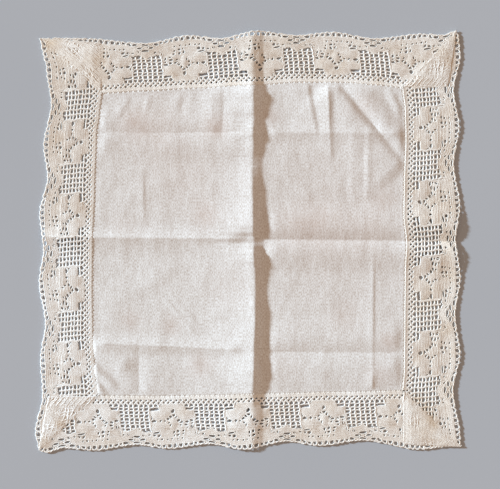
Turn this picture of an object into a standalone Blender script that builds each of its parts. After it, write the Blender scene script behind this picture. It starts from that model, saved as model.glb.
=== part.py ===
"""Bobbin lace mat: a square linen panel framed by one strip of bobbin lace.

Units are metres, +Z is up and the mat lies flat on Z = 0.  Sizes are written in
millimetres and scaled by MM.  The lace runs clockwise round the panel.  Each side
is drawn in its own frame, in which "along" runs from the start of the side to its
end and "out" points away from the middle of the mat; turning that frame by quarter
turns puts the side in its place.  At each corner the strip is pleated: it runs on
over the start of the next side, folds back on itself at the outer edge, and folds
again at the mitre, so three layers lie there a little apart.
"""

import math
from typing import NamedTuple

import bmesh
import bpy
from mathutils import Matrix, Vector

MM = 0.001

# Driving dimensions, in millimetres.
CLOTH_THICKNESS = 1.0
LACE_THICKNESS = 1.0
SEAM_GAP = 0.3
EDGE_STEP = 6.0
HEM_STEP = 12.0
GRID_STEP = 15.0
WELD = 0.00001

# The corner pleat: the gap between its layers, how far its slope starts from the
# mitre and how far it runs, the rounding of its outer fold, how much of its width is
# left at the tip of the corner, and how far open gaps stay clear of it.
LAYER_GAP = 0.3
PLEAT_SET_IN = 0.5
PLEAT_RAMP = 1.6
FOLD_ROUNDING = 0.4
PLEAT_TIP_SHARE = 0.07
PLEAT_MARGIN = 1.2
PLEAT_OPEN_REACH = 8.0

# How far creases fade at their ends and at the hem, and how many slope widths away
# from a trough its two low swells come down to the surface.
CREASE_FADE = 14.0
HEM_FADE = 12.0
SWELL_REACH = 3.0


class Point(NamedTuple):
    """One place on a side: along it, and out from the middle of the mat."""

    along: float
    out: float


class Side(NamedTuple):
    """One side of the lace: scalloped edge, hem line, valleys, corner tip, pleat."""

    turns: int
    edge: tuple
    hem: tuple
    valleys: tuple
    tip: tuple
    pleat_point: Point


class Gap(NamedTuple):
    """One open gap of the repeat, placed from a valley, in from the edge or hem."""

    at: float
    depth: float
    from_hem: bool
    length: float
    width: float
    three_sided: bool


class Crease(NamedTuple):
    """One crease of the cloth, from a start to an end point, in the mat's frame.

    left and right are the widths of its slopes, seen from start to end.  A ridge
    is highest on its line, and a trough lies between two low swells.  Where a
    crease swells and sinks along its length, swells gives its share of the height
    as the out value of points along it.
    """

    start: tuple
    end: tuple
    height: float
    left: float
    right: float
    trough: bool
    crosses_lace: bool
    swells: tuple = ()


# The scalloped edge alternates between crests and valleys of the scallops.
SIDES = (
    Side(turns=0,
         edge=(Point(-182.6, 193.6), Point(-150.3, 193.4), Point(-97.7, 188.6),
               Point(-56.0, 196.6), Point(-27.0, 193.2), Point(9.3, 200.8),
               Point(46.0, 196.2), Point(79.6, 199.7), Point(120.0, 193.2),
               Point(165.1, 198.1), Point(184.0, 196.5)),
         hem=(Point(-139.8, 141.5), Point(-97.1, 143.8), Point(-51.5, 146.1),
              Point(-3.0, 148.6), Point(49.2, 151.9), Point(89.1, 151.7),
              Point(120.5, 149.5)),
         valleys=(-97.7, -25.8, 45.7, 118.6, 188.3),
         tip=(Point(198.4, 200.6),),
         pleat_point=Point(-140.5, 189.4)),
    Side(turns=1,
         edge=(Point(-193.2, 201.1), Point(-176.1, 202.5), Point(-143.9, 195.7),
               Point(-108.7, 201.4), Point(-74.5, 195.7), Point(-34.0, 202.1),
               Point(-3.0, 197.4), Point(34.8, 202.5), Point(69.0, 197.2),
               Point(107.0, 202.3), Point(141.0, 195.2), Point(184.9, 202.4)),
         hem=(Point(-146.7, 147.1), Point(-123.9, 149.5), Point(-100.1, 150.1),
              Point(-54.5, 148.6), Point(-24.1, 148.0), Point(1.5, 150.6),
              Point(25.3, 149.5), Point(74.7, 149.0), Point(122.2, 148.6)),
         valleys=(-143.9, -74.7, -2.7, 68.3, 140.8),
         tip=(Point(195.5, 202.8),),
         pleat_point=Point(-149.5, 190.4)),
    Side(turns=2,
         edge=(Point(-193.6, 195.0), Point(-160.0, 198.2), Point(-109.1, 189.2),
               Point(-68.0, 194.8), Point(-37.0, 190.2), Point(4.0, 198.3),
               Point(36.2, 192.6), Point(75.2, 197.5), Point(106.0, 193.4),
               Point(146.5, 199.3), Point(174.5, 196.5)),
         hem=(Point(-147.1, 142.1), Point(-94.8, 143.4), Point(-12.2, 145.0),
              Point(31.5, 146.4), Point(82.8, 147.4)),
         valleys=(-109.1, -37.1, 34.2, 105.6, 177.0),
         tip=(Point(192.5, 201.1), Point(199.7, 198.6)),
         pleat_point=Point(-149.5, 193.2)),
    Side(turns=3,
         edge=(Point(-181.1, 203.1), Point(-147.0, 195.8), Point(-112.0, 198.1),
               Point(-79.0, 193.0), Point(-39.0, 199.3), Point(-8.0, 194.8),
               Point(26.0, 198.9), Point(61.0, 191.0), Point(90.6, 195.0),
               Point(131.0, 187.5), Point(162.8, 192.2), Point(184.0, 196.6)),
         hem=(Point(-146.9, 143.6), Point(-117.4, 146.8), Point(-87.0, 148.4),
              Point(-45.2, 148.9), Point(3.2, 148.4), Point(48.8, 146.5),
              Point(102.0, 144.8), Point(120.0, 142.2)),
         valleys=(-152.1, -82.7, -11.6, 57.7, 127.7),
         tip=(Point(193.6, 198.3),),
         pleat_point=Point(-148.8, 190.6)),
)

# The open gaps over 4 mm of one repeat: six between the crossing cords of each
# valley, and three beside the petals of each flower.
REPEAT = 71.2
GAPS = (
    Gap(at=0.0, depth=2.5, from_hem=False, length=7.6, width=1.5, three_sided=False),
    Gap(at=-10.7, depth=2.8, from_hem=False, length=5.6, width=2.2, three_sided=True),
    Gap(at=10.7, depth=2.8, from_hem=False, length=5.6, width=2.2, three_sided=True),
    Gap(at=-5.4, depth=5.1, from_hem=False, length=5.2, width=1.8, three_sided=False),
    Gap(at=5.4, depth=5.1, from_hem=False, length=5.2, width=1.8, three_sided=False),
    Gap(at=0.0, depth=8.0, from_hem=False, length=6.6, width=1.9, three_sided=False),
    Gap(at=20.9, depth=12.9, from_hem=True, length=6.7, width=1.6, three_sided=False),
    Gap(at=55.1, depth=13.0, from_hem=True, length=7.1, width=1.8, three_sided=False),
    Gap(at=52.7, depth=34.2, from_hem=True, length=7.2, width=1.4, three_sided=False),
)

# The main fold stands highest in the linen and lower where it crosses the lace.
MAIN_SWELLS = (Point(8.0, 0.4), Point(45.0, 0.45), Point(66.0, 1.0),
               Point(230.0, 1.0), Point(275.0, 0.6), Point(312.0, 0.9),
               Point(345.0, 0.95), Point(365.0, 0.5), Point(403.0, 0.4))

# The folds that storage pressed into the cloth, and its wrinkles.  The main fold is
# two creases on one line: a steeper crown on a wide low swell.
CREASES = (
    Crease(start=(4.0, -205.0), end=(4.0, 205.0), height=5.5, left=38.0, right=9.0,
           trough=False, crosses_lace=True, swells=MAIN_SWELLS),
    Crease(start=(4.0, -205.0), end=(4.0, 205.0), height=3.3, left=72.0, right=9.0,
           trough=False, crosses_lace=True, swells=MAIN_SWELLS),
    Crease(start=(-205.0, 2.6), end=(4.0, 2.6), height=2.6, left=10.0, right=8.0,
           trough=False, crosses_lace=True),
    Crease(start=(4.0, 0.6), end=(205.0, 0.6), height=2.4, left=12.0, right=14.0,
           trough=True, crosses_lace=True),
    Crease(start=(-145.0, 104.0), end=(4.0, 104.0), height=1.6, left=9.0, right=12.0,
           trough=True, crosses_lace=False),
    Crease(start=(12.0, 102.0), end=(150.0, 102.0), height=1.4, left=9.0, right=8.0,
           trough=False, crosses_lace=False),
    Crease(start=(-148.0, -94.0), end=(4.0, -103.0), height=2.0, left=9.0, right=8.0,
           trough=False, crosses_lace=False),
    Crease(start=(18.0, -103.5), end=(150.0, -103.5), height=1.6, left=9.0, right=10.0,
           trough=True, crosses_lace=False),
    Crease(start=(119.0, -46.0), end=(117.5, -144.0), height=1.8, left=7.0, right=6.0,
           trough=False, crosses_lace=False),
    Crease(start=(98.6, 147.6), end=(148.0, 86.8), height=2.8, left=22.0, right=9.5,
           trough=False, crosses_lace=False),
    Crease(start=(86.3, 144.2), end=(144.2, 73.0), height=1.2, left=2.5, right=8.0,
           trough=False, crosses_lace=False),
    Crease(start=(74.4, 149.5), end=(81.0, 64.0), height=2.6, left=4.0, right=13.0,
           trough=False, crosses_lace=False),
)


def ease(share):
    """Return a smooth step from 0 to 1 for a share that is held between them."""
    share = min(max(share, 0.0), 1.0)
    return share * share * (3.0 - 2.0 * share)


def height_at(points, along):
    """Read the out value of a row of points at a place along it, smoothly."""
    if along <= points[0].along:
        return points[0].out
    for first, second in zip(points, points[1:]):
        if along <= second.along:
            share = (along - first.along) / (second.along - first.along)
            return first.out + (second.out - first.out) * ease(share)
    return points[-1].out


def place(side, along, out):
    """Turn a place on a side into the mat's frame, in millimetres."""
    angle = -0.5 * math.pi * side.turns
    cosine = math.cos(angle)
    sine = math.sin(angle)
    return (along * cosine - out * sine, along * sine + out * cosine)


def previous_side(side):
    """Return the side that comes before this one, going clockwise."""
    return SIDES[side.turns - 1]


def corner_tip(side):
    """Return the outer tip of the corner where a side starts, in its own frame."""
    before = previous_side(side)
    tip = before.tip[-1]
    return Point(-tip.out, tip.along)


def edge_loop():
    """Return the scalloped outer edge of the lace, all the way round."""
    loop = []
    for side in SIDES:
        start = side.edge[0].along
        length = side.edge[-1].along - start
        steps = round(length / EDGE_STEP)
        for index in range(steps + 1):
            along = start + length * index / steps
            loop.append(place(side, along, height_at(side.edge, along)))
        for tip in side.tip:
            loop.append(place(side, tip.along, tip.out))
    return loop


def hem_loop(inset):
    """Return the hem line all the way round, moved in towards the middle."""
    loop = []
    for side in SIDES:
        loop.append(place(side, side.hem[0].along + inset, side.hem[0].out - inset))
        start = side.hem[0].along
        length = side.hem[-1].along - start
        steps = round(length / HEM_STEP)
        for index in range(1, steps + 1):
            along = start + length * index / steps
            loop.append(place(side, along, height_at(side.hem, along) - inset))
    return loop


def signed_area(first, second, third):
    """Return twice the area of a triangle, positive when it runs anticlockwise."""
    return ((second[0] - first[0]) * (third[1] - first[1])
            - (third[0] - first[0]) * (second[1] - first[1]))


def under_pleat(side, along, out, reach):
    """Tell whether a gap of a side would run under the pleat or past its corner."""
    tip = corner_tip(side)
    point = side.pleat_point
    boundary = max(side.hem[0].along, point.along)
    if along - reach > boundary + PLEAT_MARGIN:
        return False
    if along < point.along - PLEAT_OPEN_REACH:
        return True
    fold = Vector(point) - Vector(tip)
    clearance = signed_area(tip, point, (along, out)) / fold.length
    return clearance < PLEAT_MARGIN + 1.0


def past_mitre(side, along, out, reach):
    """Tell whether a gap at the end of a side would cross the mitre."""
    tip = side.tip[-1]
    corner = SIDES[(side.turns + 1) % len(SIDES)].hem[0]
    hem_corner = Point(corner.out, -corner.along)
    share = (out - hem_corner.out) / (tip.out - hem_corner.out)
    mitre = hem_corner.along + (tip.along - hem_corner.along) * share
    return along + reach > mitre - PLEAT_MARGIN


def gap_loop(side, gap, along):
    """Return the outline of one gap, bent with the edge that it lies beside."""
    half = 0.5 * gap.length
    rise = 0.5 * gap.width
    if gap.three_sided:
        corners = ((-half, rise), (0.0, -rise), (half, rise))
    else:
        corners = ((-half, 0.0), (-0.45 * half, -rise), (0.45 * half, -rise),
                   (half, 0.0), (0.45 * half, rise), (-0.45 * half, rise))
    base = side.hem if gap.from_hem else side.edge
    sign = 1.0 if gap.from_hem else -1.0
    loop = []
    for step, lift in corners:
        out = height_at(base, along + step) + sign * gap.depth + lift
        loop.append(place(side, along + step, out))
    return loop


def gap_loops():
    """Return the outlines of all the gaps that the lace is cut with."""
    loops = []
    for side in SIDES:
        starts = (side.valleys[0] - REPEAT,) + side.valleys
        ends = side.valleys + (side.valleys[-1] + REPEAT,)
        for start, end in zip(starts, ends):
            stretch = (end - start) / REPEAT
            for gap in GAPS:
                along = start + gap.at * stretch
                base = side.hem if gap.from_hem else side.edge
                sign = 1.0 if gap.from_hem else -1.0
                out = height_at(base, along) + sign * gap.depth
                reach = 0.5 * gap.length
                covered = under_pleat(side, along, out, reach)
                if not covered and not past_mitre(side, along, out, reach):
                    loops.append(gap_loop(side, gap, along))
    return loops


def slab(name, loops, thickness):
    """Return a flat closed mesh on Z = 0 from an outline and the holes in it."""
    curve = bpy.data.curves.new(name, "CURVE")
    curve.dimensions = "2D"
    curve.fill_mode = "BOTH"
    curve.extrude = 0.5 * thickness * MM
    for loop in loops:
        spline = curve.splines.new("POLY")
        spline.points.add(len(loop) - 1)
        for point, (x, y) in zip(spline.points, loop):
            point.co = (x * MM, y * MM, 0.0, 1.0)
        spline.use_cyclic_u = True
    drawn = bpy.data.objects.new(name, curve)
    bpy.context.scene.collection.objects.link(drawn)
    graph = bpy.context.evaluated_depsgraph_get()
    mesh = bpy.data.meshes.new_from_object(drawn.evaluated_get(graph))
    bpy.data.objects.remove(drawn)
    sheet = bmesh.new()
    sheet.from_mesh(mesh)
    bpy.data.meshes.remove(mesh)
    bmesh.ops.remove_doubles(sheet, verts=sheet.verts, dist=WELD)
    bmesh.ops.translate(sheet, verts=sheet.verts, vec=(0.0, 0.0, 0.5 * thickness * MM))
    bmesh.ops.recalc_face_normals(sheet, faces=sheet.faces)
    return sheet


def cut_across(sheet, point, normal):
    """Score a sheet along an upright plane, so that it can bend there."""
    geometry = list(sheet.verts) + list(sheet.edges) + list(sheet.faces)
    bmesh.ops.bisect_plane(sheet, geom=geometry, dist=WELD,
                           plane_co=(point[0] * MM, point[1] * MM, 0.0),
                           plane_no=(normal[0], normal[1], 0.0))


def crease_normal(crease):
    """Return the unit vector to the left of a crease, seen along it."""
    run = Vector(crease.end) - Vector(crease.start)
    run.normalize()
    return Vector((-run.y, run.x))


def score_crease(sheet, crease):
    """Score a sheet along the line of a crease and down its two slopes."""
    normal = crease_normal(crease)
    offsets = [-crease.right, 0.0, crease.left]
    if crease.trough:
        offsets += [-SWELL_REACH * crease.right, SWELL_REACH * crease.left]
    for offset in offsets:
        point = Vector(crease.start) + normal * offset
        cut_across(sheet, point, normal)


def crease_lift(crease, x, y):
    """Return the height that one crease gives to a place of the cloth."""
    start = Vector(crease.start)
    run = Vector(crease.end) - start
    length = run.length
    run.normalize()
    local = Vector((x, y)) - start
    along = local.dot(run)
    across = local.dot(crease_normal(crease))
    if along < 0.0 or along > length:
        return 0.0
    slope = crease.left if across > 0.0 else crease.right
    share = abs(across) / slope
    if crease.trough:
        falling = (SWELL_REACH - share) / (SWELL_REACH - 1.0)
        shape = min(share, falling)
    else:
        shape = 1.0 - share
    fade = ease(min(along, length - along) / CREASE_FADE)
    if crease.crosses_lace:
        fade = 1.0
    if crease.swells:
        fade *= height_at(crease.swells, along)
    return crease.height * max(shape, 0.0) * fade


def hem_distance(x, y):
    """Return how far inside the hem a place of the mat lies."""
    distances = []
    for side in SIDES:
        angle = 0.5 * math.pi * side.turns
        along = x * math.cos(angle) - y * math.sin(angle)
        out = x * math.sin(angle) + y * math.cos(angle)
        distances.append(height_at(side.hem, along) - out)
    return min(distances)


def lift_at(x, y):
    """Return the height of the cloth's underside above the surface."""
    inside = ease(hem_distance(x, y) / HEM_FADE)
    lifts = [0.0]
    for crease in CREASES:
        share = 1.0 if crease.crosses_lace else inside
        if share > 0.0:
            lifts.append(crease_lift(crease, x, y) * share)
    return max(lifts)


def lay_on_creases(sheet):
    """Raise every point of a flat sheet to the creases that it lies in."""
    bmesh.ops.triangulate(sheet, faces=sheet.faces)
    for vert in sheet.verts:
        vert.co.z += lift_at(vert.co.x / MM, vert.co.y / MM) * MM


def pleat_section(depth):
    """Return the folded section of a pleat: across from the mitre, and up.

    The strip rises from the side before, crosses to the outer edge, folds back to
    the mitre and folds down into the layer that lies on the surface.
    """
    thick = LACE_THICKNESS
    under_b = thick + LAYER_GAP
    over_b = under_b + thick
    under_a = over_b + LAYER_GAP
    over_a = under_a + thick
    foot = PLEAT_SET_IN
    crown = foot + PLEAT_RAMP
    back = crown + thick
    inner_fold = depth - thick - FOLD_ROUNDING
    return (
        (foot, 0.3 * thick),
        (foot, 0.9 * thick),
        (crown, over_a),
        (depth - FOLD_ROUNDING, over_a),
        (depth, 0.5 * (under_b + over_a)),
        (depth - FOLD_ROUNDING, under_b),
        (back + thick, under_b),
        (back + thick, 0.5 * thick),
        (back, 0.5 * thick),
        (back, over_b),
        (inner_fold, over_b),
        (inner_fold, under_a),
        (back, under_a),
        (foot + thick, 0.4 * thick),
    )


def pleat(side):
    """Return the folded layers of the corner where a side starts, as one mesh."""
    tip = Vector(corner_tip(side))
    start = Vector(side.hem[0])
    across = Vector(side.pleat_point) - start
    depth = across.length
    across.normalize()
    folded = bmesh.new()
    section = []
    for step, up in pleat_section(depth):
        spot = start + across * step
        section.append(folded.verts.new((spot.x, spot.y, up)))
    face = folded.faces.new(section)
    grown = bmesh.ops.extrude_face_region(folded, geom=[face])["geom"]
    far_end = [item for item in grown if isinstance(item, bmesh.types.BMVert)]
    for vert in far_end:
        spot = tip + (Vector(vert.co.xy) - tip) * PLEAT_TIP_SHARE
        vert.co.xy = spot
    turn = Matrix.Rotation(-0.5 * math.pi * side.turns, 4, "Z")
    bmesh.ops.transform(folded, matrix=Matrix.Scale(MM, 4) @ turn, verts=folded.verts)
    bmesh.ops.recalc_face_normals(folded, faces=folded.faces)
    return folded


def add_object(name, shape, material, collection):
    """Turn a bmesh into a named object with a material."""
    bmesh.ops.triangulate(shape, faces=shape.faces)
    mesh = bpy.data.meshes.new(name)
    shape.to_mesh(mesh)
    shape.free()
    mesh.materials.append(material)
    item = bpy.data.objects.new(name, mesh)
    collection.objects.link(item)
    return item


def cloth_material(name, color, roughness):
    """Return a plain matt cloth material."""
    material = bpy.data.materials.new(name)
    material.use_nodes = True
    shader = material.node_tree.nodes["Principled BSDF"]
    shader.inputs["Base Color"].default_value = color
    shader.inputs["Roughness"].default_value = roughness
    shader.inputs["Metallic"].default_value = 0.0
    return material


def make_linen_panel(collection, material):
    """Make the linen square, its narrow hem turned within its thickness."""
    sheet = slab("linen_panel", [hem_loop(SEAM_GAP)], CLOTH_THICKNESS)
    reach = int(150.0 // GRID_STEP)
    for index in range(-reach, reach + 1):
        cut_across(sheet, (index * GRID_STEP, 0.0), (1.0, 0.0))
        cut_across(sheet, (0.0, index * GRID_STEP), (0.0, 1.0))
    for crease in CREASES:
        score_crease(sheet, crease)
    lay_on_creases(sheet)
    return add_object("linen_panel", sheet, material, collection)


def make_lace_edging(collection, working, material):
    """Make the lace: one scalloped ring, cut by its gaps, with four pleats."""
    sheet = slab("lace_edging", [edge_loop(), hem_loop(0.0)] + gap_loops(),
                 LACE_THICKNESS)
    for crease in CREASES:
        if crease.crosses_lace:
            score_crease(sheet, crease)
    lay_on_creases(sheet)
    edging = add_object("lace_edging", sheet, material, collection)
    for side in SIDES:
        layers = add_object(f"pleat_{side.turns}", pleat(side), material, working)
        layers.hide_render = True
        layers.display_type = "WIRE"
        union = edging.modifiers.new(f"pleat_{side.turns}", "BOOLEAN")
        union.operation = "UNION"
        union.solver = "EXACT"
        union.object = layers
    return edging


def clear_scene():
    """Remove every object that the scene starts with."""
    for item in list(bpy.data.objects):
        bpy.data.objects.remove(item)


def main():
    """Model the mat."""
    clear_scene()
    parts = bpy.data.collections.new("bobbin_lace_mat")
    working = bpy.data.collections.new("pleat_layers")
    bpy.context.scene.collection.children.link(parts)
    bpy.context.scene.collection.children.link(working)
    linen = cloth_material("linen", (0.71, 0.65, 0.60, 1.0), 0.92)
    lace = cloth_material("cotton_lace", (0.75, 0.69, 0.61, 1.0), 0.88)
    make_linen_panel(parts, linen)
    make_lace_edging(parts, working, lace)


main()
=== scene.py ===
"""Looks of the bobbin lace mat: washed linen, bobbin lace worked thread by thread.

Sizes are in millimetres and scaled by MM.  The lace runs clockwise round the linen.
Each side is drawn in its own frame, "along" the side and "out" from the middle; the
lace pattern is charted over one repeat, by "run" along the strip and "depth" from the
hem, and laid on every side from there.
"""
import logging
import math
from dataclasses import dataclass, field
from enum import Enum
from typing import Iterator

import bmesh
import bpy
import numpy as np
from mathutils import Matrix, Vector


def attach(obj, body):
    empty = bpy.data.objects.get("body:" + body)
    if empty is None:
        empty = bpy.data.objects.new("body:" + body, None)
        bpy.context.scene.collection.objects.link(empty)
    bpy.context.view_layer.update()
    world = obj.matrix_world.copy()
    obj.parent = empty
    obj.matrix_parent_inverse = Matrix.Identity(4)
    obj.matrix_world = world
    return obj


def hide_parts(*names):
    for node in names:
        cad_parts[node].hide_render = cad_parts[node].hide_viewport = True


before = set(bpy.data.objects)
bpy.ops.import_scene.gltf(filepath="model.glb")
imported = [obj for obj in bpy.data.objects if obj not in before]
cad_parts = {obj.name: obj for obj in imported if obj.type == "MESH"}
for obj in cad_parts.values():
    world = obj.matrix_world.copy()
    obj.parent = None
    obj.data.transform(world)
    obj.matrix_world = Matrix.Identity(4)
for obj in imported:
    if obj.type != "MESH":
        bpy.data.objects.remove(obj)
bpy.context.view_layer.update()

logging.basicConfig(level=logging.INFO, format="%(message)s")
LOG = logging.getLogger("lace_mat")

MM = 0.001
Row = tuple[tuple[float, float], ...]
Places = np.ndarray | float


# ---------------------------------------------------------------- shared measures
def ease(share: np.ndarray) -> np.ndarray:
    """Return a smooth step from 0 to 1 for shares held between them."""
    held = np.clip(share, 0.0, 1.0)
    return held * held * (3.0 - 2.0 * held)


def read_row(row: Row, along: np.ndarray) -> np.ndarray:
    """Read a row of (along, value) points at many places, smoothly.

    Args:
        row: the points, in rising order of their first number.
        along: the places to read it at.

    Returns:
        One value for each place, held at the row's ends.
    """
    points = np.asarray(row, float)
    place = np.clip(along, points[0, 0], points[-1, 0])
    index = np.searchsorted(points[:, 0], place, side="right") - 1
    index = np.clip(index, 0, len(points) - 2)
    first, second = points[index], points[index + 1]
    share = (place - first[..., 0]) / (second[..., 0] - first[..., 0])
    return first[..., 1] + (second[..., 1] - first[..., 1]) * ease(share)


def within(loop: Row, across: np.ndarray, up: np.ndarray) -> np.ndarray:
    """Tell which points lie inside a closed outline.

    Args:
        loop: the outline's corners.
        across: first coordinates of the points.
        up: second coordinates of the points.

    Returns:
        True for each point inside.
    """
    found = np.zeros(np.shape(across), bool)
    for (x0, y0), (x1, y1) in zip(loop, loop[1:] + loop[:1]):
        if y0 == y1:
            continue
        crossed = (y0 > up) != (y1 > up)
        found ^= crossed & (across < (x1 - x0) * (up - y0) / (y1 - y0) + x0)
    return found


def runs_of(keep: np.ndarray) -> Iterator[tuple[int, int]]:
    """Find each unbroken run of True values.

    Args:
        keep: the values.

    Yields:
        The start and end of each run.
    """
    steps = np.diff(np.concatenate(([False], keep, [False])).astype(int))
    turns = np.flatnonzero(steps)
    yield from zip(turns[::2], turns[1::2])


def thinned(path: np.ndarray, slack: float) -> np.ndarray:
    """Drop the points of a path that lie straight between their neighbours.

    Args:
        path: the points, one in each row.
        slack: how far a dropped point may lie from the straight line, in mm.

    Returns:
        The shorter path, with its ends kept.
    """
    for _ in range(2):
        if len(path) < 4:
            break
        off = np.linalg.norm(path[1:-1] - 0.5 * (path[:-2] + path[2:]), axis=1)
        drop = np.zeros(len(path), bool)
        drop[1:-1:2] = off[::2] < slack
        path = path[~drop]
    return path


def turned(first: np.ndarray, second: np.ndarray,
           turns: int) -> tuple[np.ndarray, ...]:
    """Turn places to the left by a number of quarter turns.

    Args:
        first: first coordinates of the places.
        second: second coordinates of the places.
        turns: how many quarter turns.

    Returns:
        The turned coordinates.
    """
    angle = 0.5 * math.pi * turns
    cosine, sine = round(math.cos(angle)), round(math.sin(angle))
    return first * cosine - second * sine, first * sine + second * cosine


@dataclass(frozen=True)
class SideLine:
    """One side of the lace: its scalloped edge, hem line, valleys, tip and pleat.

    hem ends at the corner where the next side starts, and edge runs from the
    corner tip where this side starts to the tip where it ends.  pleat_lean is how
    far the pleat's threads lean, pleat_fill how densely the pleat is filled, and
    pleat_rise how far its leaning threads stand over the straight ones.  hem_cord
    is the radius of the cord beside the hem, and ends_plain is True where the net
    runs on without flowers into the corner.
    """

    turns: int
    edge: Row
    hem: Row
    valleys: tuple[float, ...]
    pleat_point: tuple[float, float]
    pleat_lean: float
    pleat_fill: float
    pleat_rise: float = 0.0
    hem_cord: float = 0.46
    ends_plain: bool = False

    def place(self, along: np.ndarray, out: np.ndarray) -> tuple[np.ndarray, ...]:
        """Turn places on this side into the mat's frame."""
        return turned(along, out, -self.turns)

    def measure(self, x: np.ndarray, y: np.ndarray) -> tuple[np.ndarray, ...]:
        """Turn places of the mat into this side's along and out."""
        return turned(x, y, self.turns)


SIDES = (
    SideLine(
        turns=0,
        edge=((-198.3, 193.6), (-182.6, 193.6), (-150.3, 193.4), (-97.7, 188.6),
              (-56.0, 196.6), (-27.0, 193.2), (9.3, 200.8), (46.0, 196.2),
              (79.6, 199.7), (120.0, 193.2), (165.1, 198.1), (184.0, 196.5),
              (198.4, 200.6)),
        hem=((-139.8, 141.5), (-97.1, 143.8), (-51.5, 146.1), (-3.0, 148.6),
             (49.2, 151.9), (89.1, 151.7), (120.5, 149.5), (147.1, 146.7)),
        valleys=(-97.7, -25.8, 45.7, 118.6, 188.3),
        pleat_point=(-140.5, 189.4), pleat_lean=0.05, pleat_fill=0.6),
    SideLine(
        turns=1,
        edge=((-200.6, 198.4), (-193.2, 201.1), (-176.1, 202.5), (-143.9, 195.7),
              (-108.7, 201.4), (-74.5, 195.7), (-34.0, 202.1), (-3.0, 197.4),
              (34.8, 202.5), (69.0, 197.2), (107.0, 202.3), (141.0, 195.2),
              (184.9, 202.4), (195.5, 202.8)),
        hem=((-146.7, 147.1), (-123.9, 149.5), (-100.1, 150.1), (-54.5, 148.6),
             (-24.1, 148.0), (1.5, 150.6), (25.3, 149.5), (74.7, 149.0),
             (122.2, 148.6), (142.1, 147.1)),
        valleys=(-143.9, -74.7, -2.7, 68.3, 140.8),
        pleat_point=(-149.5, 190.4), pleat_lean=0.7, pleat_fill=1.0,
        hem_cord=0.58, ends_plain=True),
    SideLine(
        turns=2,
        edge=((-202.8, 195.5), (-193.6, 195.0), (-160.0, 198.2), (-109.1, 189.2),
              (-68.0, 194.8), (-37.0, 190.2), (4.0, 198.3), (36.2, 192.6),
              (75.2, 197.5), (106.0, 193.4), (146.5, 199.3), (174.5, 196.5),
              (192.5, 201.1), (199.7, 198.6)),
        hem=((-147.1, 142.1), (-94.8, 143.4), (-12.2, 145.0), (31.5, 146.4),
             (82.8, 147.4), (143.6, 146.9)),
        valleys=(-109.1, -37.1, 34.2, 105.6, 177.0),
        pleat_point=(-149.5, 193.2), pleat_lean=0.3, pleat_fill=0.3),
    SideLine(
        turns=3,
        edge=((-198.6, 199.7), (-181.1, 203.1), (-147.0, 195.8), (-112.0, 198.1),
              (-79.0, 193.0), (-39.0, 199.3), (-8.0, 194.8), (26.0, 198.9),
              (61.0, 191.0), (90.6, 195.0), (131.0, 187.5), (162.8, 192.2),
              (184.0, 196.6), (193.6, 198.3)),
        hem=((-146.9, 143.6), (-117.4, 146.8), (-87.0, 148.4), (-45.2, 148.9),
             (3.2, 148.4), (48.8, 146.5), (102.0, 144.8), (120.0, 142.2),
             (141.5, 139.8)),
        valleys=(-152.1, -82.7, -11.6, 57.7, 127.7),
        pleat_point=(-148.8, 190.6), pleat_lean=0.95, pleat_fill=0.25,
        pleat_rise=0.28),
)


class Fold(Enum):
    """How a crease lies: standing up on its line, or sunk between two swells."""

    RIDGE = "ridge"
    TROUGH = "trough"


@dataclass(frozen=True)
class Crease:
    """One crease of the cloth, from a start to an end point.

    left and right are the widths of its slopes, seen from start to end.  bends are
    the powers that bend them: above 1 a slope is steepest at the line, below 1 at
    its foot.  shares are the height's shares along the crease, crown is how far its
    line is rounded, and reach is how many widths the swells beside a trough take.
    sway is how far the line strays to its left along the crease, inset is how far
    inside the hem it has its full height, and taper is how long its ends are.  A
    crosswise fold of the whole mat starts clear of the main fold and grows from
    there, as meets says.  foot rounds the place where a ridge meets the cloth.
    """

    start: tuple[float, float]
    end: tuple[float, float]
    height: float
    left: float
    right: float
    fold: Fold = Fold.RIDGE
    crosses_lace: bool = False
    bends: tuple[float, float] = (1.0, 1.0)
    shares: Row = ()
    crown: float = 1.2
    reach: tuple[float, float] = (3.0, 3.0)
    sway: Row = ((0.0, 0.0), (1.0, 0.0))
    inset: float = 7.0
    taper: float = 14.0
    meets: tuple[float, float] = (4.0, 20.0)
    foot: float = 0.004

    def lift(self, x: np.ndarray, y: np.ndarray) -> np.ndarray:
        """Work out the height that this crease gives to places of the cloth.

        Args:
            x: how far right the places lie.
            y: how far up the mat they lie.

        Returns:
            A height for each place.
        """
        length = math.hypot(self.end[0] - self.start[0], self.end[1] - self.start[1])
        run = ((self.end[0] - self.start[0]) / length,
               (self.end[1] - self.start[1]) / length)
        dx, dy = x - self.start[0], y - self.start[1]
        along, across = dx * run[0] + dy * run[1], dy * run[0] - dx * run[1]
        across = across - read_row(self.sway, along)
        width = np.where(across > 0.0, self.left, self.right)
        bend = np.where(across > 0.0, *self.bends)
        blunt = self.crown / width
        share = np.sqrt((across / width) ** 2 + blunt * blunt) - blunt
        if self.fold is Fold.TROUGH:
            near = 1.0 - np.clip(1.0 - share, 0.0, 1.0) ** bend
            reach = np.where(across > 0.0, *self.reach)
            shape = np.where(share < 1.0, near, ease((reach - share) / (reach - 1.0)))
        else:
            fallen = 1.0 - share
            shape = 0.5 * (fallen + np.sqrt(fallen * fallen + self.foot))
            shape = np.where(share > 2.0, 0.0, shape) ** bend
        fade = ease(np.minimum(along, length - along) / self.taper)
        if self.crosses_lace:
            fade = np.where((along >= 0.0) & (along <= length), 1.0, 0.0)
            if self.start[0] != self.end[0]:
                clear, grown = self.meets
                inland = along if self.start[0] > 0.0 else length - along
                fade = fade * ease((inland - clear) / grown)
        if self.shares:
            fade = fade * read_row(self.shares, along)
        return self.height * np.maximum(shape, 0.0) * fade


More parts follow.
